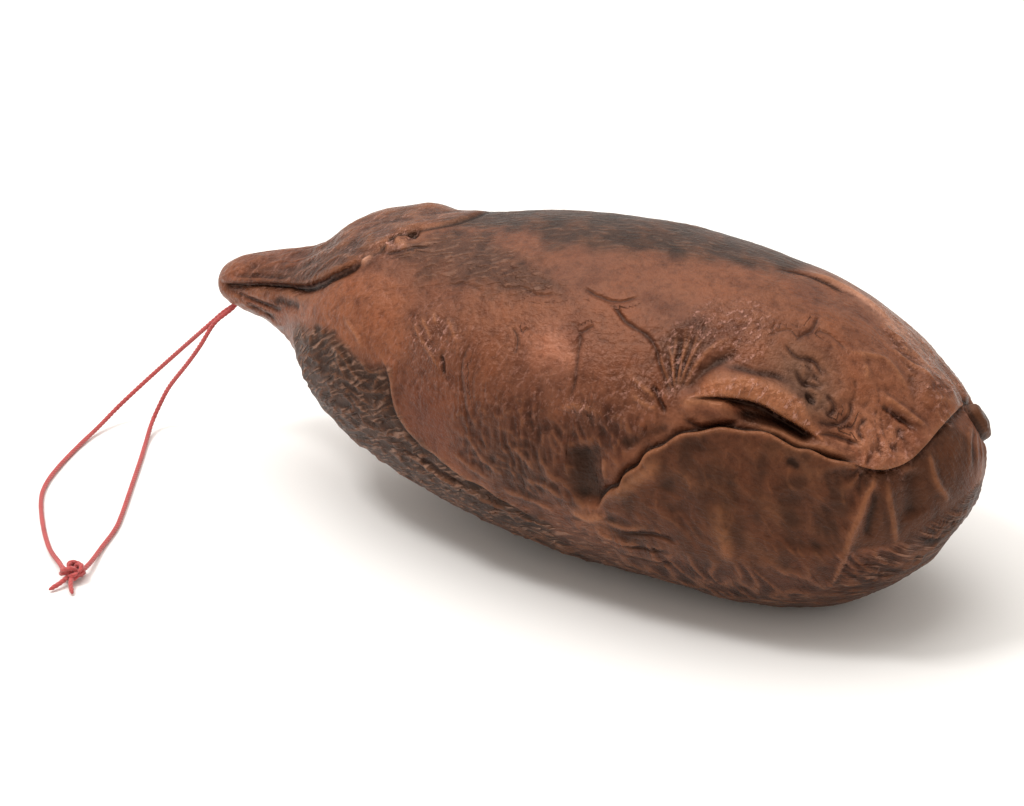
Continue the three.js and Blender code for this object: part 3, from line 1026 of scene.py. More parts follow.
FAR_FOLDS += [(ridge, path, PLEAT) for path in PLEATS]
ALL_FOLDS = NECK_FOLDS + FLANK_FOLDS + PUCKER_FOLDS + LID_FOLDS + END_FOLDS + FAR_FOLDS
print(len(ALL_FOLDS), "strokes in all")

# %% [markdown]
# ## Enough points for the folds
# The rounded cage has a point about every 1.5 mm, which is enough for its swell and dents.
# Folds need more. So the front's faces, those round the nub and those near the other lips
# are picked by their place and divided once. Then the faces near the sharpest folds, which
# are the fan's ridges and the lips of the lid and the end, are divided again. The rest would
# only get heavier.

# %% Enough points for the folds
FINE_REACH = 3.6
FINEST_REACH = 3.0
NUB_REACH = 9
NUB_FOOT = (113.8, 11.2, 56.2)


def lines_of(folds, tools):
    """Points about a millimetre apart on the lines of the folds made with these tools."""
    found = []
    for tool, path, _ in folds:
        if tool in tools:
            line = smooth_line(path, 14)
            found.append(skin_point(line[:, 0], line[:, 1]))
    return np.vstack(found)


def face_middles():
    flat = np.zeros(len(skin.data.polygons) * 3)
    skin.data.polygons.foreach_get("center", flat)
    return flat.reshape(-1, 3) / MM


def is_near(places, line_points, reach):
    near = np.zeros(len(places), bool)
    for start in range(0, len(line_points), 40):
        some = line_points[start : start + 40]
        low, high = some.min(0) - reach, some.max(0) + reach
        boxed = np.nonzero(np.all((places > low) & (places < high), axis=1))[0]
        gap = np.linalg.norm(places[boxed][:, None] - some[None], axis=2).min(1)
        near[boxed[gap < reach]] = True
    return near


def divide(picked):
    skin.data.polygons.foreach_set("select", picked)
    skin.data.vertices.foreach_set("select", np.zeros(len(skin.data.vertices), bool))
    skin.data.edges.foreach_set("select", np.zeros(len(skin.data.edges), bool))
    bpy.ops.object.mode_set(mode="EDIT")
    bpy.ops.mesh.select_mode(type="FACE")
    bpy.ops.mesh.subdivide(number_cuts=1, smoothness=1.0)
    bpy.ops.mesh.select_mode(type="VERT")
    bpy.ops.object.mode_set(mode="OBJECT")
    triangles = sum(len(face.vertices) - 2 for face in skin.data.polygons)
    print("skin has", len(skin.data.vertices), "points and", triangles, "triangles")


middles = face_middles()
middle_turn = turn_of(middles)
in_front = (middle_turn > 28) & (middle_turn < 124)
picked = in_front & (middles[:, 0] > -82) & (middles[:, 0] < 116)
picked |= is_near(middles, lines_of(FAR_FOLDS + NECK_FOLDS, (lip,)), FINE_REACH)
picked |= is_near(middles, lines_of(END_FOLDS, (lip, ridge)), FINE_REACH)
picked |= is_near(middles, np.array([NUB_FOOT]), NUB_REACH)
divide(picked)
sharpest = [lines_of(PUCKER_FOLDS, (ridge,)), lines_of(LID_FOLDS + END_FOLDS[:10], (lip,))]
divide(is_near(face_middles(), np.vstack(sharpest), FINEST_REACH))

# %% [markdown]
# ## Making the strokes
# Now that the mesh is fine enough, its points are read once and every stroke is made.

# %% Making the strokes
Skin.rest = read_points(skin.data)
Skin.normals = read_normals(skin.data)
count = len(Skin.rest)
Skin.lift = np.zeros(count)
Skin.slide = np.zeros((count, 3))
Skin.rubbed = np.zeros(count)
Skin.deep = np.zeros(count)
Skin.folded = np.zeros(count)
Skin.hair_gap = np.full(count, HAIRLINE_REACH)
Skin.hair_mark = np.zeros(count)
X = Skin.rest[:, 0]
TURN = turn_of(Skin.rest)
HALF = half_height(X)
AROUND = np.radians(TURN) * HALF
# Distances round the skin jump at the underside's middle line, so what follows them fades there.
AWAY_FROM_SEAM = ease(180 - np.abs(TURN), 0, 14)
for tool, path, sizes in ALL_FOLDS:
    tool(path, **sizes)
print("skin lifts from", round(Skin.lift.min(), 1), "to", round(Skin.lift.max(), 1), "mm")

# %% [markdown]
# ## Soft-edged areas
# Colour and fine wrinkles change from area to area. An area is an outline on the skin. How
# far each point is inside it, in millimetres, gives a mask with a soft edge, and a little
# noise in that distance keeps the edge from looking cut.


# %% Soft-edged areas
def grain(u, v, w=0.0):
    """Smooth random values from -1 to 1 at places u, v, w, the same on each run."""
    places = np.stack([u, v, np.zeros(len(u)) + w], 1).tolist()
    return np.array([noise.noise(place) for place in places])


def clouds(size, seed):
    """The same, at the points' places in space, with features of this size in millimetres."""
    x, y, z = (Skin.rest / size).T
    return grain(x, y + seed, z)


ragged_wide = clouds(7, 4.5)
ragged_fine = clouds(2.5, 9.5)


def area(outline_points, soft=4.0, ragged=3.0):
    """0 outside to 1 inside an outline of (x, turn) corners, with a soft and ragged edge."""
    corners = np.array(outline_points, float)
    scale = np.radians(1) * HALF
    inside = np.zeros(count, bool)
    distance = np.full(count, 1e9)
    for (ax, at), (bx, bt) in zip(corners, np.roll(corners, -1, axis=0)):
        crosses = (at > TURN) != (bt > TURN)
        rise = bt - at if bt != at else 1e-9
        inside ^= crosses & (X < (bx - ax) * (TURN - at) / rise + ax)
        dx, dy = bx - ax, (bt - at) * scale
        qx, qy = X - ax, (TURN - at) * scale
        t = np.clip((qx * dx + qy * dy) / np.maximum(dx * dx + dy * dy, 1e-9), 0, 1)
        distance = np.minimum(distance, np.hypot(qx - t * dx, qy - t * dy))
    signed = np.where(inside, distance, -distance)
    signed = signed + ragged * ragged_wide + 0.5 * ragged * ragged_fine
    return ease(signed, -soft, soft)


def spot(x, turn, size_x, size_around):
    """A round soft spot, sizes in millimetres."""
    around = np.radians(TURN - turn) * HALF
    return np.exp(-(((X - x) / size_x) ** 2) - (around / size_around) ** 2)


print("the wide raggedness is at most", round(float(np.abs(ragged_wide).max()), 2))

# %% [markdown]
# ## The areas
# The front has a grey patch under the neck, smoke and grey veins on top, a smooth shoulder,
# a drawn and a dark middle, a lid with its hem, and an end with a net of creases. The far
# side and the underside are masks of the angle alone.

# %% The areas
grey_patch = area([(-83, 88), (-79, 80), (-72, 72), (-64, 72), (-56, 75), (-48, 77), (-41, 78),
                   (-38, 88), (-32, 98), (-20, 104), (-6, 110), (14, 118), (20, 150), (-40, 150),
                   (-88, 120)], soft=1.5)
top_smoke = area([(-44, 7), (-28, 9), (-16, 6), (-2, 17), (15, 15), (31, 9), (47, 3), (62, -6),
                  (60, -44), (-10, -50), (-40, -26)], soft=4, ragged=4)
grey_veins = area([(-50, 24), (-46, 12), (-30, 10), (-19, 17), (-3, 26), (6, 34), (-10, 40),
                   (-30, 37), (-44, 34)], soft=5, ragged=5)
lid = area([(34, 99), (38.5, 91), (44, 82), (53, 71), (67, 62.5), (83, 62), (99, 62), (102, 70),
            (97, 103), (94, 128), (60, 142), (34, 130)], soft=1.2, ragged=1.0)
lower_middle = area([(-16, 90), (-10, 80), (4, 74), (20, 72), (35, 66), (43, 74), (36, 84),
                     (32, 100), (20, 108), (0, 108), (-12, 104)], soft=5, ragged=5)
hollow = area([(24, 84), (32.5, 82), (33.5, 100), (25, 103)], soft=3.0, ragged=2.5)
end_face = area([(102.5, 64), (108, 58), (111, 42), (112.5, 10), (119.6, 0), (119.6, 180),
                 (108, 110), (98, 104), (102.5, 80)], soft=1.2, ragged=0.8)
red_band = area([(96, 106), (108, 112), (118, 120), (118, 150), (96, 140)], soft=2, ragged=2)
fan = area([(40, 42), (44, 35), (50, 31), (55, 34), (53, 50), (50, 60), (45, 53)],
           soft=1.5, ragged=1.5)
granular = area([(46, 30), (50, 21), (63, 18), (69, 26), (66, 36), (60, 41), (54, 36)],
                soft=3, ragged=3)
shoulder = area([(-92, 66), (-84, 58), (-70, 48), (-58, 38), (-42, 42), (-36, 60), (-38, 78),
                 (-48, 75), (-64, 70), (-80, 76)], soft=3, ragged=3)
upper_roll = area([(52.5, 58), (58, 50), (68, 45), (80, 46), (88, 52), (90, 57), (80, 52.5),
                   (70, 51), (60, 54)], soft=1.0, ragged=0.8)
underside = ease(np.abs(TURN), 112, 140) * ease(X, -95, -75)
far_side = ease(-TURN, 25, 60) * ease(X, -90, -70)
neck = ease(-X, 76, 96)
lid_hem = lid * ease(TURN, 106, 120)
drawn_area = area([(-34, 58), (0, 52), (44, 50), (42, 74), (-8, 84), (-30, 80)], soft=6, ragged=6)
net_area = area([(80, 28), (108, 26), (108, 50), (98, 60), (86, 50), (78, 40)], soft=4, ragged=4)
end_top = area([(78, -24), (90, -2), (104, 6), (112, 20), (112, -50), (90, -50)], soft=4, ragged=4)
print("grey patch covers", round(100 * float(grey_patch.mean())), "% of the points")

# %% [markdown]
# ## Wrinkles in every size
# Skin that dries on meat shrinks less than the meat does, so it wrinkles. The wrinkles run
# across the direction of the shrinking, and they differ from area to area. Ridged noise
# gives such lines: where smooth noise passes through zero it draws a thin winding line.
# Stretching the noise makes the lines long, and a second noise bends them. Only wrinkles
# about 3 mm apart and wider are made here, and the material adds the finer ones.


# %% Wrinkles in every size
def folds_of_noise(direction, length, spacing, seed, thin=0.32, bent=0.6):
    """Thin winding lines, 0 to 1, that run along direction, degrees from the long axis."""
    angle = np.radians(direction)
    along = X * np.cos(angle) + AROUND * np.sin(angle)
    across = -X * np.sin(angle) + AROUND * np.cos(angle)
    sway = bent * grain(along / (1.5 * length), across / (4 * spacing), seed + 5.2)
    value = grain(along / length, across / spacing + sway, seed)
    return np.clip(1 - np.abs(value) / thin, 0, 1)


def wrinkle(mask, height, lines, light=0.0, sharp=1.3):
    mask = mask * AWAY_FROM_SEAM
    Skin.lift += height * mask * lines**sharp
    # The wrinkles' tops are painted lighter: a painted highlight.
    mark(Skin.rubbed, slice(None), light * mask * lines**2)


broad = clouds(32, 1.3)
medium = clouds(12, 4.7)
Skin.lift += 0.8 * broad * ease(HALF, 10, 30) + 0.35 * medium * ease(HALF, 8, 20)

flap = area([(-90, 50), (-74, 42), (-60, 30), (-48, 8), (-42, -4), (-44, -26), (-90, -26)], soft=4)
wrinkle(flap, 0.45, folds_of_noise(-16, 11, 4.2, 49.9, thin=0.45, bent=1.0), light=0.3)
wrinkle(grey_patch, 0.6, folds_of_noise(14, 9, 3.4, 2.2, thin=0.4, bent=1.2), light=0.25)
wrinkle(grey_patch, 0.35, folds_of_noise(-30, 6, 3.4, 3.9, thin=0.4, bent=1.2), light=0.2)
belly_area = np.maximum(underside, 0.8 * ease(TURN, 106, 118) * ease(X, -60, -30)) * (1 - lid)
wrinkle(belly_area, 0.5, folds_of_noise(4, 9, 3.6, 6.4, bent=0.9), light=0.25)
wrinkle(lower_middle * (1 - hollow), 0.4, folds_of_noise(82, 8, 2.8, 11.7, bent=0.9), light=0.15)
wrinkle(lower_middle * (1 - hollow), 0.3, folds_of_noise(25, 6, 3.2, 13.2, bent=1.2), light=0.25)
wrinkle(drawn_area, -0.09, folds_of_noise(88, 14, 3.2, 15.1, thin=0.25))
wrinkle(np.maximum(grey_veins, 0.5 * top_smoke), 0.3, folds_of_noise(12, 8, 3.0, 19.3, thin=0.3))
wrinkle(lid_hem, 0.9, folds_of_noise(84, 9, 4.2, 23.9, thin=0.36, bent=1.1), light=0.35)
wrinkle(lid * (1 - lid_hem), 0.3, folds_of_noise(60, 7, 4.0, 27.7, bent=1.2))
wrinkle(net_area, -0.5, folds_of_noise(60, 7, 4.2, 31.1, thin=0.3, bent=1.5))
wrinkle(net_area, -0.4, folds_of_noise(-25, 8, 5.0, 32.7, thin=0.3, bent=1.5))
wrinkle(red_band, 1.0, folds_of_noise(60, 6, 3.6, 33.3, thin=0.36, bent=1.2), light=0.5)
wrinkle(end_top, 0.35, folds_of_noise(-4, 12, 3.6, 35.1, bent=0.6), light=0.5)
far_wrinkled = far_side * ease(clouds(26, 41.3), -0.25, 0.25)
wrinkle(far_wrinkled, 0.5, folds_of_noise(35, 12, 5.0, 37.9, thin=0.35, bent=1.1), light=0.2)
wrinkle(neck * ease(HALF, 5, 8), 0.4, folds_of_noise(-4, 12, 3.0, 47.7, bent=0.6), light=0.15)
print("wrinkled skin lifts to", round(float(Skin.lift.max()), 1), "mm")

# %% [markdown]
# ## Wrinkles that fan out
# Around a pinch the wrinkles do not run side by side but like spokes. Their height follows
# the angle round the pinch, and fades with the distance from it. Noise read on a circle
# gives spokes of uneven width, as real ones are.


# %% Wrinkles that fan out
def spokes(x, turn, number, reach, height, seed, inner=2.0):
    centre = skin_point(np.array([float(x)]), np.array([float(turn)]))[0]
    dx = X - x
    dy = np.radians(TURN - turn) * HALF
    distance = np.hypot(dx, dy)
    close = np.linalg.norm(Skin.rest - centre, axis=1) < 3 * reach
    circle = number / 6.0
    angle = np.arctan2(dy, dx) + 0.25 * grain(X / 8, AROUND / 8, seed + 2.1)
    wave = 2.0 * grain(circle * np.cos(angle), circle * np.sin(angle), distance / 16 + seed)
    fade = ease(distance, 0, inner) * np.exp(-((distance / reach) ** 2)) * close
    return height * fade * np.clip(wave, -1, 1)


star = spokes(29, 108, 17, 11, 0.4, 51.3, inner=6.0)
gathers = spokes(99, 63, 14, 10, 0.7, 57.1) * (1 - end_face)
gathers += spokes(22, -92, 14, 14, 0.9, 63.1)
gathers += spokes(115, -25, 20, 20, 0.5, 65.3, inner=7)
Skin.lift += star + gathers
# The spokes' tops are painted lighter: a painted highlight.
mark(Skin.rubbed, slice(None), 0.35 * np.clip(star + gathers, 0, 1))
beads = grain(X / 1.5, AROUND / 1.5, 67.7)
fatty = spot(-27, 59, 8, 8) + spot(42, 58, 6, 4) + spot(26, 70, 7, 2)
Skin.lift += 0.3 * np.clip(granular + 0.5 * fan + 0.6 * fatty, 0, 1) * beads
print("spokes reach", round(float(np.abs(star).max()), 1), "mm high")

# %% [markdown]
# ## The nub
# The knot of gut stands out of the end like a button, wider than its foot. The points inside
# its outline are pushed out, and those at its edge are also spread, so that it bulges. The
# skin round its foot is drawn in.

# %% The nub
NUB_HALF_WIDTH = 3.3
NUB_HALF_HEIGHT = 5.4
NUB_OUT = 2.6
NUB_TILT = math.radians(-14)

foot = np.linalg.norm(Skin.rest - np.array(NUB_FOOT), axis=1).argmin()
nub_axis = Skin.normals[foot]
nub_side = np.cross(nub_axis, (0, 0, 1))
nub_side /= np.linalg.norm(nub_side)
nub_up = np.cross(nub_side, nub_axis)
offset = Skin.rest - Skin.rest[foot]
sideways = offset @ nub_side
upward = offset @ nub_up
nub_across = sideways * math.cos(NUB_TILT) + upward * math.sin(NUB_TILT)
nub_along = -sideways * math.sin(NUB_TILT) + upward * math.cos(NUB_TILT)
nub_share = np.hypot(nub_across / NUB_HALF_WIDTH, nub_along / NUB_HALF_HEIGHT)
nub_place = np.linalg.norm(offset, axis=1) < 14
round_top = 0.45 * np.sqrt(np.clip(1 - nub_share**2, 0, 1))
nub_top = nub_place * (round_top + 0.55 * ease(1.1 - nub_share, 0, 0.25))
nub_foot = nub_place * np.exp(-(((nub_share - 1.35) / 0.25) ** 2))
Skin.lift[nub_place & (nub_share < 1.2)] *= 0.3
Skin.lift -= 0.9 * nub_foot
knobbly = 1 + 0.15 * grain(nub_across / 2.2, nub_along / 2.2, 71.3)
Skin.slide += (NUB_OUT * nub_top * knobbly)[:, None] * nub_axis
spread = 0.14 * nub_place * np.exp(-(((nub_share - 0.9) / 0.2) ** 2))
Skin.slide += (spread * sideways)[:, None] * nub_side + (spread * upward)[:, None] * nub_up
# The ring round the nub's foot is painted darker: a painted shade.
mark(Skin.deep, slice(None), 0.9 * nub_foot)
print("nub stands out", round(NUB_OUT, 1), "mm along", nub_axis.round(2))

# %% [markdown]
# ## Moving the points
# Near the two poles the rings are tiny, so the folds fade out there. A folded lip is then
# smoothed a little, as the smooth brush would, because its edge crosses the mesh aslant. At
# the table the skin is pressed flat: a smooth bend takes the place of a hard cut.

# %% Moving the points
PRESSED = 1.0
SMOOTH_FOLDS = 0.6
SMOOTH_ALL = 0.25

edges = np.zeros(len(skin.data.edges) * 2, np.int64)
skin.data.edges.foreach_get("vertices", edges)
edges = edges.reshape(-1, 2)
degree = np.bincount(edges.ravel(), minlength=count)[:, None]


def neighbour_mean(values):
    total = np.zeros_like(values)
    np.add.at(total, edges[:, 0], values[edges[:, 1]])
    np.add.at(total, edges[:, 1], values[edges[:, 0]])
    return total / degree


calm = ease(HALF, 3, 9)[:, None]
moved = Skin.rest + Skin.normals * Skin.lift[:, None] * calm + Skin.slide
for _ in range(3):
    moved += SMOOTH_FOLDS * Skin.folded[:, None] * (neighbour_mean(moved) - moved)
moved += SMOOTH_ALL * (neighbour_mean(moved) - moved)
moved[:, 2] = 0.5 * (moved[:, 2] + np.sqrt(moved[:, 2] ** 2 + PRESSED**2))
skin.data.vertices.foreach_set("co", (moved * MM).ravel())
skin.data.update()
deselect()
skin.select_set(True)
bpy.context.view_layer.objects.active = skin
bpy.ops.object.shade_smooth()
print("skin spans", [round(1000 * d, 1) for d in skin.dimensions], "mm")

# %% [markdown]
# ## Valleys and tops
# The valleys are painted darker later, a painted shade, and the tops lighter, a painted
# highlight. How far a point lies below the mean of its neighbours says which it is. The mean
# is taken twice, once close by for fine wrinkles, and once over a wider ring for the folds.

# %% Valleys and tops
FULL_CLOSE = 0.3
FULL_WIDE = 1.2

moved_normals = read_normals(skin.data)
blurred = moved
for _ in range(4):
    blurred = neighbour_mean(blurred)
below_close = np.clip(((blurred - moved) * moved_normals).sum(1) / FULL_CLOSE, -1, 1)
for _ in range(16):
    blurred = neighbour_mean(blurred)
below_wide = np.clip(((blurred - moved) * moved_normals).sum(1) / FULL_WIDE, -1, 1)
print("valleys", round(float((below_close > 0.3).mean()), 2), "of the points")

# %% [markdown]
# ## Painting the skin
# The colour of such a casing is never even. Lean meat shows through as red brown, fat as
# orange tan, and smoke lies on it as grey. The slits between folds are painted nearly black
# later, as painted shade. So the large areas are painted on the points first, one over the
# other, as with a wide brush.

# %% Painting the skin
colour = np.tile(np.array(paint("#6e4431")[:3]), (count, 1))


def brush(code, mask):
    colour[:] += (np.array(paint(code)[:3]) - colour) * np.clip(mask, 0, 1)[:, None]


cloud = 0.5 + 0.5 * np.clip(2.2 * clouds(22, 81.1), -1, 1)
small_cloud = 0.5 + 0.5 * np.clip(2.2 * clouds(8, 83.3), -1, 1)
brush("#794932", 0.7 * cloud)
brush("#573226", 0.55 * small_cloud * (1 - cloud))
brush("#824e35", 0.85 * shoulder)
brush("#774631", 0.8 * neck)
brush("#5d301f", 0.9 * spot(-24, 90, 16, 15))
# A lighter patch at mid height on the front: a painted sheen, a painted highlight.
brush("#a46c54", 0.8 * spot(13, 54, 10, 6))
by_the_fan = area([(24, 40), (44, 38), (46, 58), (40, 72), (22, 68)], soft=5)
brush("#704430", 0.7 * by_the_fan)
right_side = area([(70, 12), (98, 12), (108, 40), (96, 52), (84, 40), (68, 34)], soft=6)
brush("#7d4c34", 0.7 * right_side)
brush("#211a16", 0.95 * top_smoke * (0.82 + 0.18 * small_cloud))
brush("#452e24", 0.9 * grey_veins * (0.65 + 0.35 * small_cloud))
brush("#5d4a3d", 0.6 * spot(78, 34, 9, 8) + 0.5 * spot(84, 44, 6, 5))
brush("#4b382e", 0.9 * grey_patch)
brush("#48261a", 0.85 * lower_middle)
brush("#331d14", 0.8 * lower_middle * spot(8, 98, 14, 11))
# The hollow is painted nearly black: a painted shade in the recess.
brush("#28150d", 0.95 * hollow)
brush("#7c523a", 0.6 * spot(30, 108, 6, 3.5))
brush("#4a2b1f", 0.35 * flap + 0.4 * flap * small_cloud)
# The flap's side of the neck groove is painted darker: a painted shade under the flap.
groove_shade = area([(-112, 62), (-92, 49), (-76, 41), (-63, 30), (-62, 20), (-76, 27), (-92, 34),
                    (-110, 44)], soft=2, ragged=2)
brush("#452619", 0.6 * groove_shade)
print("mean colour of the large areas", [round(float(c), 3) for c in colour.mean(0)])

# %% [markdown]
# ## Smaller marks on the skin
# The lid and the end are darker and mottled, and the underside is painted darker as shade.
# The folds come last: nearly black in the slits, valleys and dents, a painted shade, and
# along a few lines of dried juice. The folds that show inside them are brown, and the
# ridges' tops are pale, a painted highlight. Pale fat with painted glints, and painted
# highlights on the top's back fold and the end, come last.

# %% Smaller marks on the skin
brush("#4f2c1c", 0.9 * lid)
brush("#5e3a27", 0.8 * lid * np.clip(2.0 * grain(X / 9, AROUND / 7, 85.7), 0, 1))
brush("#382015", 0.7 * lid * np.clip(2.0 * grain(X / 8, AROUND / 9, 87.9), 0, 1))
brush("#2f1b12", 0.6 * lid * np.clip(2.5 * grain(X / 4.5, AROUND / 5.5, 89.3), 0, 1))
brush("#70462a", 0.6 * lid * spot(67.5, 102, 3.0, 11))
brush("#59372a", 0.6 * lid_hem)
brush("#452718", 0.9 * end_face)
brush("#5c3324", 0.7 * red_band)
# The underside is painted darker: a painted shade where the skin turns down to the table.
brush("#33241e", 0.65 * underside)
brush("#4a3a32", 0.5 * far_wrinkled)
far_grey = area([(-40, -40), (30, -38), (60, -44), (58, -74), (0, -84)], soft=9, ragged=9)
brush("#4f433b", 0.5 * far_grey)
far_tan = area([(70, -20), (104, -10), (104, -60), (84, -80), (70, -60)], soft=8)
brush("#85512f", 0.5 * far_tan)
pale_corner = area([(98, 38), (110, 36), (109, 48), (106, 58), (97, 60), (93, 54)], soft=3)
brush("#a76e52", 0.8 * pale_corner)
brush("#9c6243", 0.75 * upper_roll)
brush("#553629", 0.65 * fan)
brush("#2a1c16", 0.9 * nub_place * ease(1.25 - nub_share, 0, 0.2))
# Slits, valleys, dents and the nub's foot are painted nearly black as painted shade, and the
# darkened lines add dried juice.
brush("#28160e", 0.9 * Skin.deep)
inner_fold = area([(51.5, 60.5), (56, 56.6), (62, 54.6), (67.5, 55.6), (63, 58.4), (57, 61)],
                  soft=0.6, ragged=0.3)
brush("#8a543c", 0.85 * inner_fold)
dull = np.clip(underside + lid_hem + lower_middle + grey_patch + red_band, 0, 1)
# Ridge tops are painted lighter, a painted highlight, and greyer where the skin is dull.
brush("#996749", 0.75 * Skin.rubbed * (1 - 0.7 * dull))
brush("#805e4e", 0.6 * Skin.rubbed * dull)
# A pale bead of fat at the flap's end, and a cluster of painted glints beside it.
brush("#c99a84", 0.7 * spot(-54, 21, 2.6, 2.2) * small_cloud + 0.8 * spot(-60, 33, 1.2, 1.2))
# Painted highlights: on the fold at the back of the top, and along the end's upper edge.
brush("#c08f78", 0.8 * spot(78, -15, 12, 2.4))
end_highlight = area([(70, -21), (84, -13), (98, -7), (108, 1), (112, 8), (112, -4), (100, -17),
                   (84, -25)], soft=2, ragged=2)
brush("#b08069", 0.6 * end_highlight * (0.5 + 0.5 * small_cloud))
print("mean colour", [round(float(c), 3) for c in colour.mean(0)])

# %% [markdown]
# ## Handing the painting to the material
# A material can read values that are stored on the points. The painted colour goes in as
# one attribute. The valleys, the hairlines, the smoky areas and the glossy ones go in as
# others. So do the distances along and round the skin, because fine wrinkles follow it.

# %% Attributes for the material
rgba = np.hstack([colour, np.ones((count, 1))]).astype(np.float32)
painted = skin.data.color_attributes.new("painted", "FLOAT_COLOR", "POINT")
painted.data.foreach_set("color", rgba.ravel())


def store(name, values):
    made = skin.data.attributes.new(name, "FLOAT", "POINT")
    made.data.foreach_set("value", np.asarray(values, np.float32))


smoky = np.clip(
    grey_patch + 0.25 * top_smoke + 0.35 * grey_veins + 0.7 * belly_area + 0.7 * far_wrinkled
    + 0.2 * red_band + 0.08 * flap, 0, 1
)
glossy = np.clip(
    fatty + granular + 0.8 * fan + 0.9 * upper_roll + 0.8 * spot(103, 48, 6, 9) + 0.8 * end_top
    + spot(-54, 21, 5, 5) + 0.2 * shoulder + 0.25 * drawn_area + 0.4 * neck + 0.5 * flap, 0, 1
)
store("valley", 0.5 + 0.5 * np.clip(0.7 * below_close + 0.5 * below_wide, -1, 1))
store("smoky", smoky * AWAY_FROM_SEAM)
store("glossy", glossy)
store("drawn", np.clip(0.6 * drawn_area + 0.5 * lower_middle + lid_hem, 0, 1) * AWAY_FROM_SEAM)
store("hair_gap", Skin.hair_gap)
store("hair_mark", Skin.hair_mark)
skin_place = skin.data.attributes.new("skin_place", "FLOAT_VECTOR", "POINT")
places = np.stack([X, AROUND, np.zeros(count)], 1).astype(np.float32)
skin_place.data.foreach_set("vector", places.ravel())
print("attributes:", [a.name for a in skin.data.attributes if not a.name.startswith(".")])

# %% [markdown]
# ## Dried and smoked natural casing
# The casing is collagen, like thin leather, dried on the meat. Its own surface is smooth, so
# it shines softly, and fat makes it glossier in places. Smoke and mould bloom make it matt.
# Collagen bends light a little less than glass does, so its IOR is 1.45. Patterns that the
# shrinking made are longer than they are wide, and they follow the skin, so the place on
# the skin is turned and then squeezed to cells of a given length and width.

# %% Dried and smoked natural casing
casing, tree = new_material("smoked_natural_casing")
MASKS = ("valley", "smoky", "glossy", "drawn", "hair_gap", "hair_mark")
masks = [node("Attribute", {"attribute_name": name}, out="Fac") for name in MASKS]
valley, smoky_mask, glossy_mask, drawn_mask, hair_gap, hair_mark = masks
painted_colour = node("Attribute", {"attribute_name": "painted"}, out="Color")
on_skin = node("Attribute", {"attribute_name": "skin_place"}, out="Vector")
in_space = node("TexCoord", {}, out="Object")


def stretched(length, width, turn):
    """The place on the skin, turned by degrees, in cells of this many millimetres."""
    turned = node("Mapping", {"Vector": on_skin, "Rotation": (0, 0, math.radians(turn))})
    return node("Mapping", {"Vector": turned, "Scale": (1 / length, 1 / width, 1)})


print("masks:", MASKS)

# %% [markdown]
# ## The casing's patterns
# Blotches of fat and lean are about 11 mm wide, and the mottling in them 4 mm. The pebbles
# of dried fat are 1.6 mm and the grain 0.5 mm, a little coarser than the real one, which is
# too fine to show. Where smoke lies, the skin has shrunk to wrinkles 2.3 mm apart that wind
# along it. Where it was drawn down, they are 2.7 mm apart and run downwards. A wave texture
# with much distortion winds like that, and a second noise breaks its lines, so that they
# don't look combed. Painted glints on the fat are stretched pale spots.

# %% The casing's patterns
ONE_WAVE_PER_CELL = 0.314
WINDING = {
    "Scale": ONE_WAVE_PER_CELL,
    "Distortion": 11.0,
    "Detail": 2.5,
    "Detail Scale": 1.6,
    "Detail Roughness": 0.6,
}
blotch = node(
    "TexNoise",
    {"Vector": in_space, "Scale": 0.9 * PER_CM, "Detail": 3, "Roughness": 0.6, "Distortion": 0.6},
)
mottle = node(
    "TexNoise", {"Vector": in_space, "Scale": 2.6 * PER_CM, "Detail": 5, "Roughness": 0.68}
)
pebbles = node(
    "TexNoise", {"Vector": in_space, "Scale": 6.2 * PER_CM, "Detail": 2, "Roughness": 0.5}
)
fine_grain = node(
    "TexNoise", {"Vector": in_space, "Scale": 19 * PER_CM, "Detail": 2, "Roughness": 0.6}
)


def broken(place, detail, rough, low, high):
    """Stretched spots, 0 to 1, that break up lines or stand alone."""
    spots = node("TexNoise", {"Vector": place, "Scale": 1.0, "Detail": detail, "Roughness": rough})
    return node("MapRange", STEP, spots, low, high)


shrunk = node(
    "TexWave", {"Vector": stretched(5.0, 2.3, 14), "bands_direction": "Y", **WINDING}, out="Fac"
)
shrunk = node("Math", {"operation": "POWER"}, shrunk, 1.6)
shrunk = node("Math", TIMES, shrunk, broken(stretched(5.0, 2.6, -24), 2, 0.5, 0.4, 0.56))
down_lines = node(
    "TexWave", {"Vector": stretched(2.7, 8.0, 4), "bands_direction": "X", **WINDING}, out="Fac"
)
down_breaks = broken(stretched(8.0, 11.0, 20), 3, 0.6, 0.44, 0.66)
down_lines = node("Math", TIMES, down_lines, down_breaks)
# Painted glints: small pale spots on the glossy skin, painted into its colour.
painted_glints = broken(stretched(2.4, 1.4, 70), 3, 0.7, 0.53, 0.66)
painted_glints = node("Math", TIMES, painted_glints, glossy_mask)
print("patterns so far:", len(tree.nodes), "nodes")

# %% [markdown]
# ## Hairlines
# The stored distance to a crack is exact, so its line can be as thin as the real one. The
# mottling moves it a little from side to side, because a real crack is never smooth. The
# line is drawn twice: narrow and dark, and wide and faint for the dirt beside it.

# %% Hairlines
NARROW = (0.05, 0.38)
WIDE = (0.0, 1.1)
wobble = node("Math", {"operation": "SUBTRACT"}, mottle, 0.5)
wobble = node("Math", TIMES, wobble, 0.9)
hair_distance = node("Math", {"operation": "ADD"}, hair_gap, wobble)
hair_distance = node("Math", {"operation": "ABSOLUTE"}, hair_distance)
hair = node("MapRange", STEP, hair_distance, *NARROW, 1.0, 0.0)
hair = node("Math", TIMES, hair, hair_mark)
hair_wide = node("MapRange", STEP, hair_distance, *WIDE, 1.0, 0.0)
hair_wide = node("Math", TIMES, hair_wide, hair_mark)
print("a hairline is", 2 * NARROW[1], "mm wide at most")

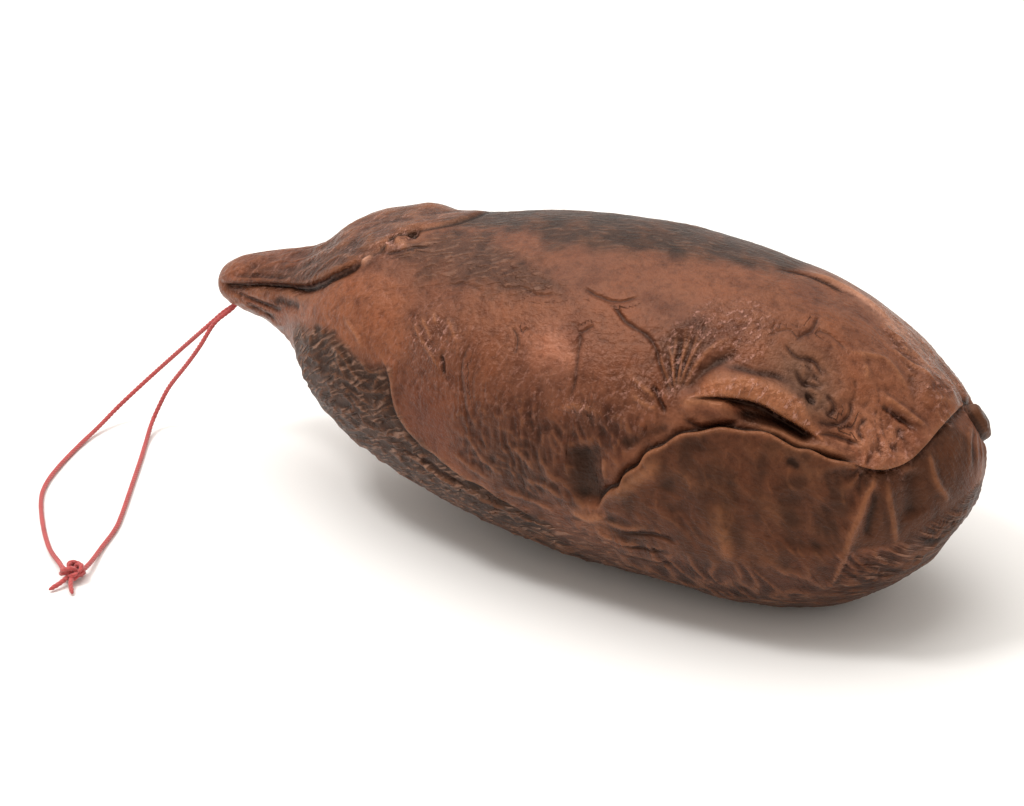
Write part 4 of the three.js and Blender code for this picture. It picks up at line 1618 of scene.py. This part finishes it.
# %% [markdown]
# ## The casing's colour
# The painted colour comes first. Thin washes darken it, as juice darkens leather: blotches,
# mottling, pebbles and wrinkles. A painted shade darkens the valleys between folds. Then the
# small things cover it: the dry tops of smoky wrinkles, a painted highlight on the high
# places, the hairlines and the painted glints.

# %% The casing's colour
WASHES = [
    (0.75, blotch, [(0.32, "#c2aea4"), (0.5, "#ffffff"), (0.7, "#ffefe0")]),
    (0.6, mottle, [(0.3, "#98847c"), (0.52, "#ffffff")]),
    (0.3, pebbles, [(0.34, "#a18a7e"), (0.5, "#ffffff")]),
    (
        node("Math", TIMES, drawn_mask, 0.6),
        down_lines,
        [(0.0, "#dccfc8"), (0.35, "#ffffff"), (0.9, "#ffe9d8")],
    ),
    (node("Math", TIMES, smoky_mask, 0.8), shrunk, [(0.0, "#84736a"), (0.55, "#ffffff")]),
]
base = painted_colour
for share, pattern, stops in WASHES:
    base = node("Mix", WASH, share, base, node("ValToRGB", {"stops": stops}, pattern))
dry_tops = node("Math", TIMES, shrunk, node("MapRange", STEP, blotch, 0.3, 0.6))
dry_tops = node("Math", TIMES, dry_tops, smoky_mask)
base = node("Mix", COVER, node("Math", TIMES, dry_tops, 0.7), base, paint("#9a7765"))
valley_shade = node("ValToRGB", {"stops": [(0.5, "#ffffff"), (0.85, "#5a4238")]}, valley)
base = node("Mix", WASH, 0.85, base, valley_shade)
# The high places get a painted highlight.
highlit_places = node("MapRange", STEP, valley, 0.15, 0.44, 1.0, 0.0)
COVERS = [
    (highlit_places, 0.2, "#99603f"),
    (hair_wide, 0.25, "#3a2018"),
    (hair, 0.85, "#241310"),
    (painted_glints, 0.5, "#c89484"),
]
for mask, share, code in COVERS:
    base = node("Mix", COVER, node("Math", TIMES, mask, share), base, paint(code))
print(len(WASHES) + 1, "washes and", len(COVERS) + 1, "covers")

# %% [markdown]
# ## The casing's relief and shine
# The wrinkles, pebbles and hairlines add up to one height, for a bump of three quarters of a
# millimetre. The grain is a second, finer bump on top of it. Roughness goes up where smoke
# lies and down where there is fat. A white reflection looks bluish on so brown a skin, so
# the specular tint is warm.

# %% The casing's relief and shine
WRINKLE_BUMP = 0.75
GRAIN_BUMP = 0.2

height = node("Math", TIMES, down_lines, node("Math", TIMES, drawn_mask, 0.8))
height = node("Math", TIMES_PLUS, pebbles, glossy_mask, height)
shrunk_depth = node("Math", TIMES_PLUS, smoky_mask, 1.0, 0.1)
height = node("Math", TIMES_PLUS, shrunk, shrunk_depth, height)
not_smoky = node("Math", TIMES_PLUS, smoky_mask, -0.6, 1.0)
for pattern, share in ((pebbles, 0.45), (mottle, 0.5)):
    height = node("Math", TIMES_PLUS, node("Math", TIMES, pattern, share), not_smoky, height)
height = node("Math", TIMES_PLUS, hair_wide, -1.0, height)
wrinkle_bump = node("Bump", {"Strength": 1.0, "Distance": WRINKLE_BUMP * MM, "Height": height})
grain_height = node("Math", TIMES_PLUS, painted_glints, 1.2, fine_grain)
grain_bump = node(
    "Bump",
    {
        "Strength": 0.8,
        "Distance": GRAIN_BUMP * MM,
        "Height": grain_height,
        "Normal": wrinkle_bump,
    },
)
shine = node("Math", TIMES_PLUS, mottle, 0.2, 0.27)
for mask, change in ((smoky_mask, 0.12), (glossy_mask, -0.12), (painted_glints, -0.12)):
    shine = node("Math", TIMES_PLUS, mask, change, shine)
casing_shader = node(
    "BsdfPrincipled",
    {
        "Base Color": base,
        "Roughness": shine,
        "IOR": 1.45,
        "Specular IOR Level": 0.35,
        "Specular Tint": paint("#ffcdb4"),
        "Normal": grain_bump,
    },
)
node("OutputMaterial", {"Surface": casing_shader})
skin.data.materials.append(casing)
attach(skin, "root")
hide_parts("sausage")
print("the casing has", len(tree.nodes), "nodes")

# %% [markdown]
# ## The table and the light
# The light is one wide soft box overhead, a little to the neck's side, as a skylight would
# be. A small lamp in front of the neck adds the glints on the fat. The surroundings are
# pale, so that the shadows stay open and the shine is soft.

# %% The table and the light
deselect()
bpy.ops.mesh.primitive_plane_add(size=8, location=(0, 0, 0))
table = bpy.context.object
table.name = "pale_table"
pale, tree = new_material("pale_table")
table_shader = node("BsdfPrincipled", {"Base Color": paint("#f4f2ef"), "Roughness": 0.7})
node("OutputMaterial", {"Surface": table_shader})
table.data.materials.append(pale)
table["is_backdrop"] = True


def soft_box(name, place, target, size, power):
    data = bpy.data.lights.new(name, "AREA")
    data.size = size
    data.energy = power
    light = bpy.data.objects.new(name, data)
    light.location = place
    light.rotation_euler = (Vector(target) - Vector(place)).to_track_quat("-Z", "Y").to_euler()
    bpy.context.scene.collection.objects.link(light)
    return light


BELLY = (0, 0, 0.03)
SURROUNDINGS = 0.72
soft_box("window_light", (-0.2, 0.02, 1.1), BELLY, 1.2, 10.2)
soft_box("spark_lamp", (-0.35, -0.35, 0.95), BELLY, 0.2, 3.6)
world = bpy.data.worlds.new("pale_room")
world.use_nodes = True
background = world.node_tree.nodes["Background"]
background.inputs["Color"].default_value = paint("#fffaf4")
background.inputs["Strength"].default_value = SURROUNDINGS
bpy.context.scene.world = world
bpy.context.scene.view_settings.view_transform = "Standard"

# %% [markdown]
# ## Sizes
# The skin was moved by its folds, so the finished model is measured once more, and its size
# is printed beside the frame's.

# %% Sizes
visual_low, visual_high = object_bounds()
sizes = {
    "frame": [list(frame_low), list(frame_high)],
    "visual": [list(visual_low), list(visual_high)],
}
for name, (low, high) in sizes.items():
    print(name, [round(1000 * (h - l), 1) for l, h in zip(low, high)], "mm")
